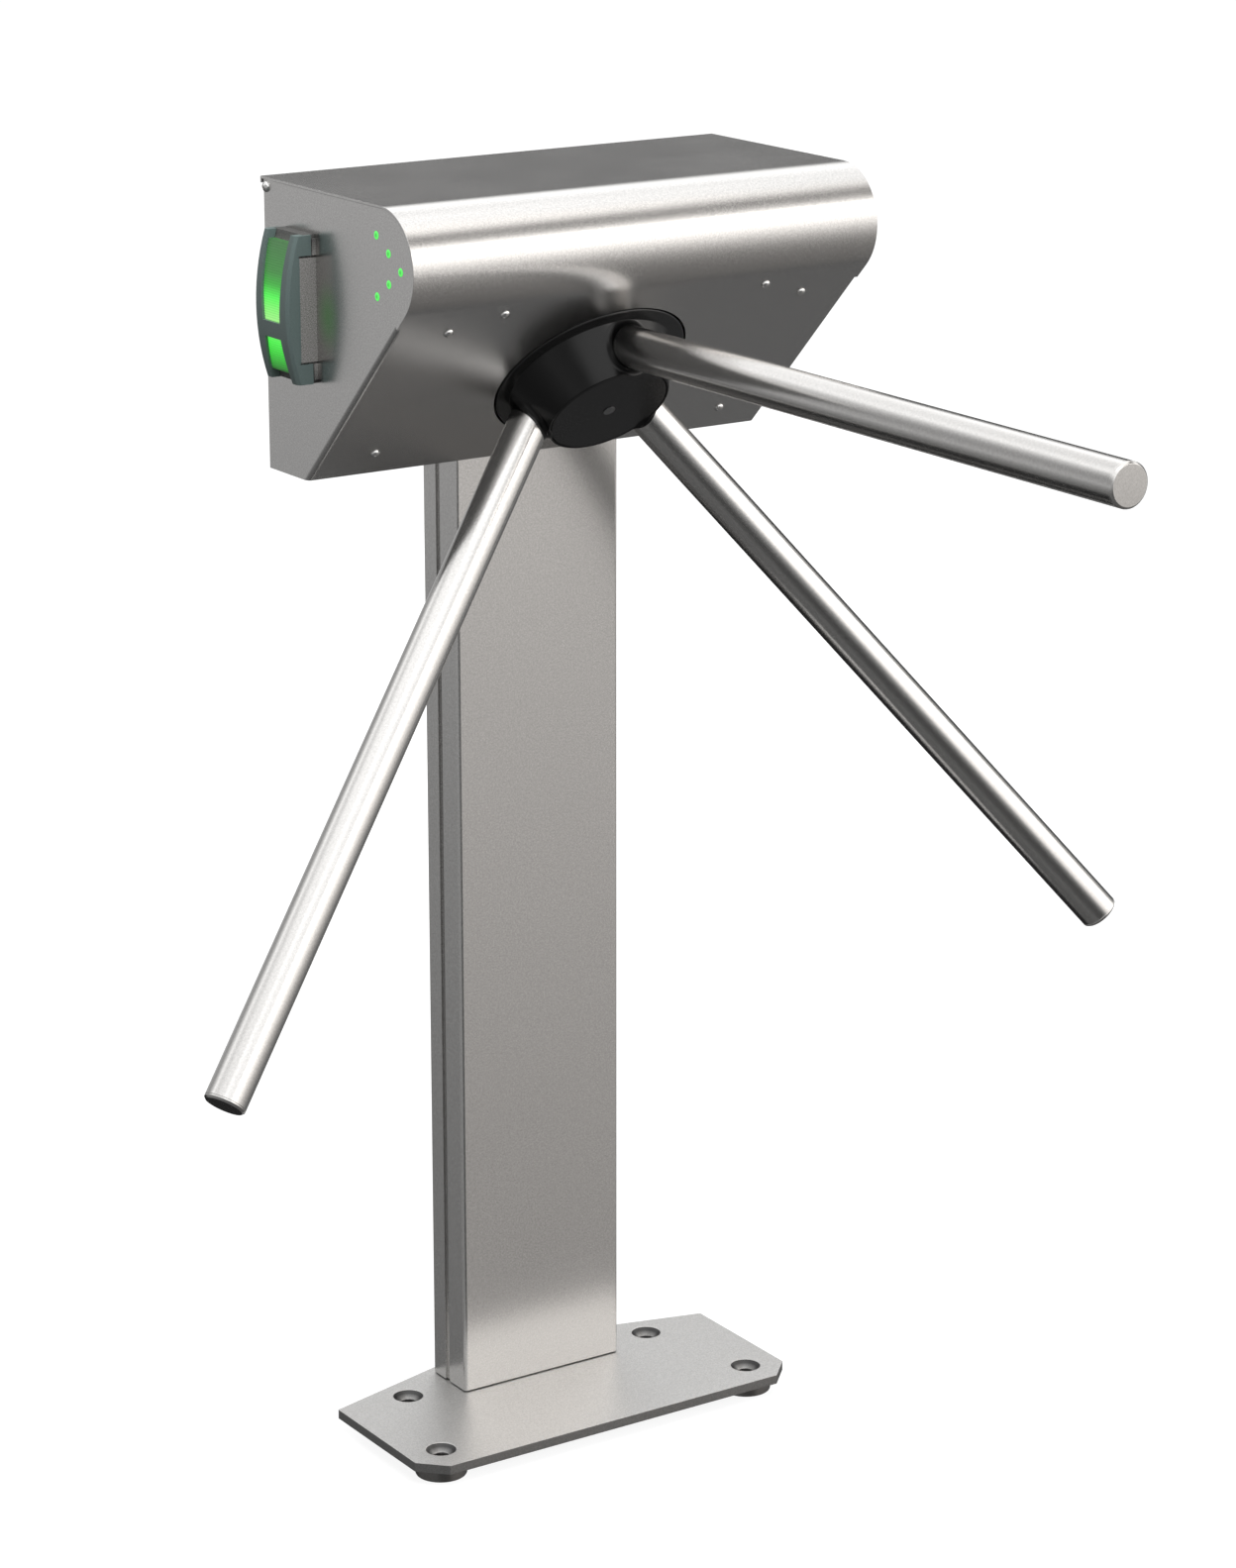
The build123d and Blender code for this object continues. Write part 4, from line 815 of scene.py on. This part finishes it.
def studio_floor():
    """Pale floor that shows white to the lens, and keeps a soft shadow."""
    shape = bmesh.new()
    bmesh.ops.create_grid(shape, x_segments=8, y_segments=8, size=stage_reach)
    mesh = mesh_of(shape, "studio_floor")
    finish, tree = lit_surface("floor_white")
    reach = measure(tree, "LENGTH", own_place(tree))
    tone = stretch(tree, reach, start=0.8, end=3.0, low=0.90, high=1.0)
    level = number(tree, "MULTIPLY", bright_rays(tree), tone)
    white = add(tree, "Emission", {"Strength": level})
    matt = add(tree, "BsdfDiffuse", {"Color": (*grey(0.16), 1)})
    both = add(tree, "AddShader", {0: white.outputs["Emission"], 1: matt.outputs["BSDF"]})
    cover_surface(tree, both.outputs["Shader"])
    mesh.materials.append(finish)
    floor = in_scene("studio_floor", mesh)
    floor.visible_glossy = False


def sky_band(tree, rise, stops, tint_of_band):
    """Tone of the tent along the elevation, in one tint."""
    return blend_ramp(tree, rise, [
        ((sin(radians(turn)) + 1) / 2, [channel * tone / tent_peak for channel in tint_of_band])
        for turn, tone in stops
    ])


def studio_tent():
    """Studio tent far round the object, that only glossy faces mirror: dark below, pale above."""
    shape = bmesh.new()
    bmesh.ops.create_uvsphere(shape, u_segments=96, v_segments=64, radius=stage_reach)
    bmesh.ops.reverse_faces(shape, faces=shape.faces)
    bmesh.ops.translate(shape, verts=shape.verts, vec=head_middle)
    mesh = mesh_of(shape, "studio_tent")
    shade_smooth(mesh)
    finish, tree = lit_surface("tent_grey")
    from_head = vector(tree, "SUBTRACT", own_place(tree), head_middle)
    way = vector(tree, "NORMALIZE", from_head)
    rise = stretch(tree, split(tree, way)[2], start=-1, end=1)
    bearing = vector(tree, "NORMALIZE", vector(tree, "MULTIPLY", way, (1, 1, 0)))
    tone = sky_band(tree, rise, tent_all_round, neutral)
    for turn, (near, far), panel_tint, stops in tent_panels:
        toward = (sin(radians(turn)), -cos(radians(turn)), 0)
        side = measure(tree, "DOT_PRODUCT", bearing, toward)
        share = stretch(tree, side, cos(radians(far)), cos(radians(near)), soft=True)
        panel = sky_band(tree, rise, stops, panel_tint)
        mixed = add(tree, "MixRGB", {"Fac": share, "Color1": tone, "Color2": panel})
        tone = mixed.outputs["Color"]
    light = add(tree, "Emission", {"Color": tone, "Strength": tent_peak})
    cover_surface(tree, light.outputs["Emission"])
    mesh.materials.append(finish)
    tent = in_scene("studio_tent", mesh)
    tent.visible_camera = False
    tent.visible_diffuse = False
    tent.visible_transmission = False
    tent.visible_volume_scatter = False
    tent.visible_shadow = False


def studio_world():
    """White surroundings for the lens, metal and glass, and a softer fill for matt faces."""
    world = bpy.data.worlds.new("studio_world")
    world.use_nodes = True
    tree = world.node_tree
    feed(tree, tree.nodes["Background"], {
        "Color": (1, 1, 1, 1),
        "Strength": stretch(tree, bright_rays(tree), low=0.4, high=1.0),
    })
    bpy.context.scene.world = world


def softbox(name, place, aim, width, height, power):
    """A soft lamp that faces a point."""
    lamp = bpy.data.lights.new(name, "AREA")
    lamp.shape = "RECTANGLE"
    lamp.size = width
    lamp.size_y = height
    lamp.energy = power
    holder = in_scene(name, lamp)
    holder.location = place
    holder.rotation_euler = (Vector(aim) - Vector(place)).to_track_quat("-Z", "Y").to_euler()
    holder.visible_camera = False
    holder.visible_glossy = False


def lens_at_photo_view():
    """Camera at the photograph's view."""
    tilt_down, turn_right = 0.285, 0.586
    lens = bpy.data.cameras.new("photo_view")
    lens.lens = 100.78
    lens.sensor_width = 36.0
    lens.clip_end = 100.0
    holder = in_scene("photo_view", lens)
    holder.location = (-1.80235, -2.85347, 1.50988)
    holder.rotation_euler = (pi / 2 - tilt_down, 0, -turn_right)
    bpy.context.scene.camera = holder


# Stage, lamps and lens
studio_floor()
studio_tent()
studio_world()
post_aim = (0, 0, 0.8)
softbox("front_softbox", (2.2, -2.4, 1.9), post_aim, width=2.4, height=1.6, power=90)
softbox("overhead_softbox", (-0.6, -1.2, 3.4), post_aim, width=2.6, height=2.0, power=110)
softbox("rear_softbox", (1.0, 2.8, 1.3), head_middle, width=2.4, height=1.4, power=90)
lens_at_photo_view()
bpy.context.scene.view_settings.view_transform = "Standard"
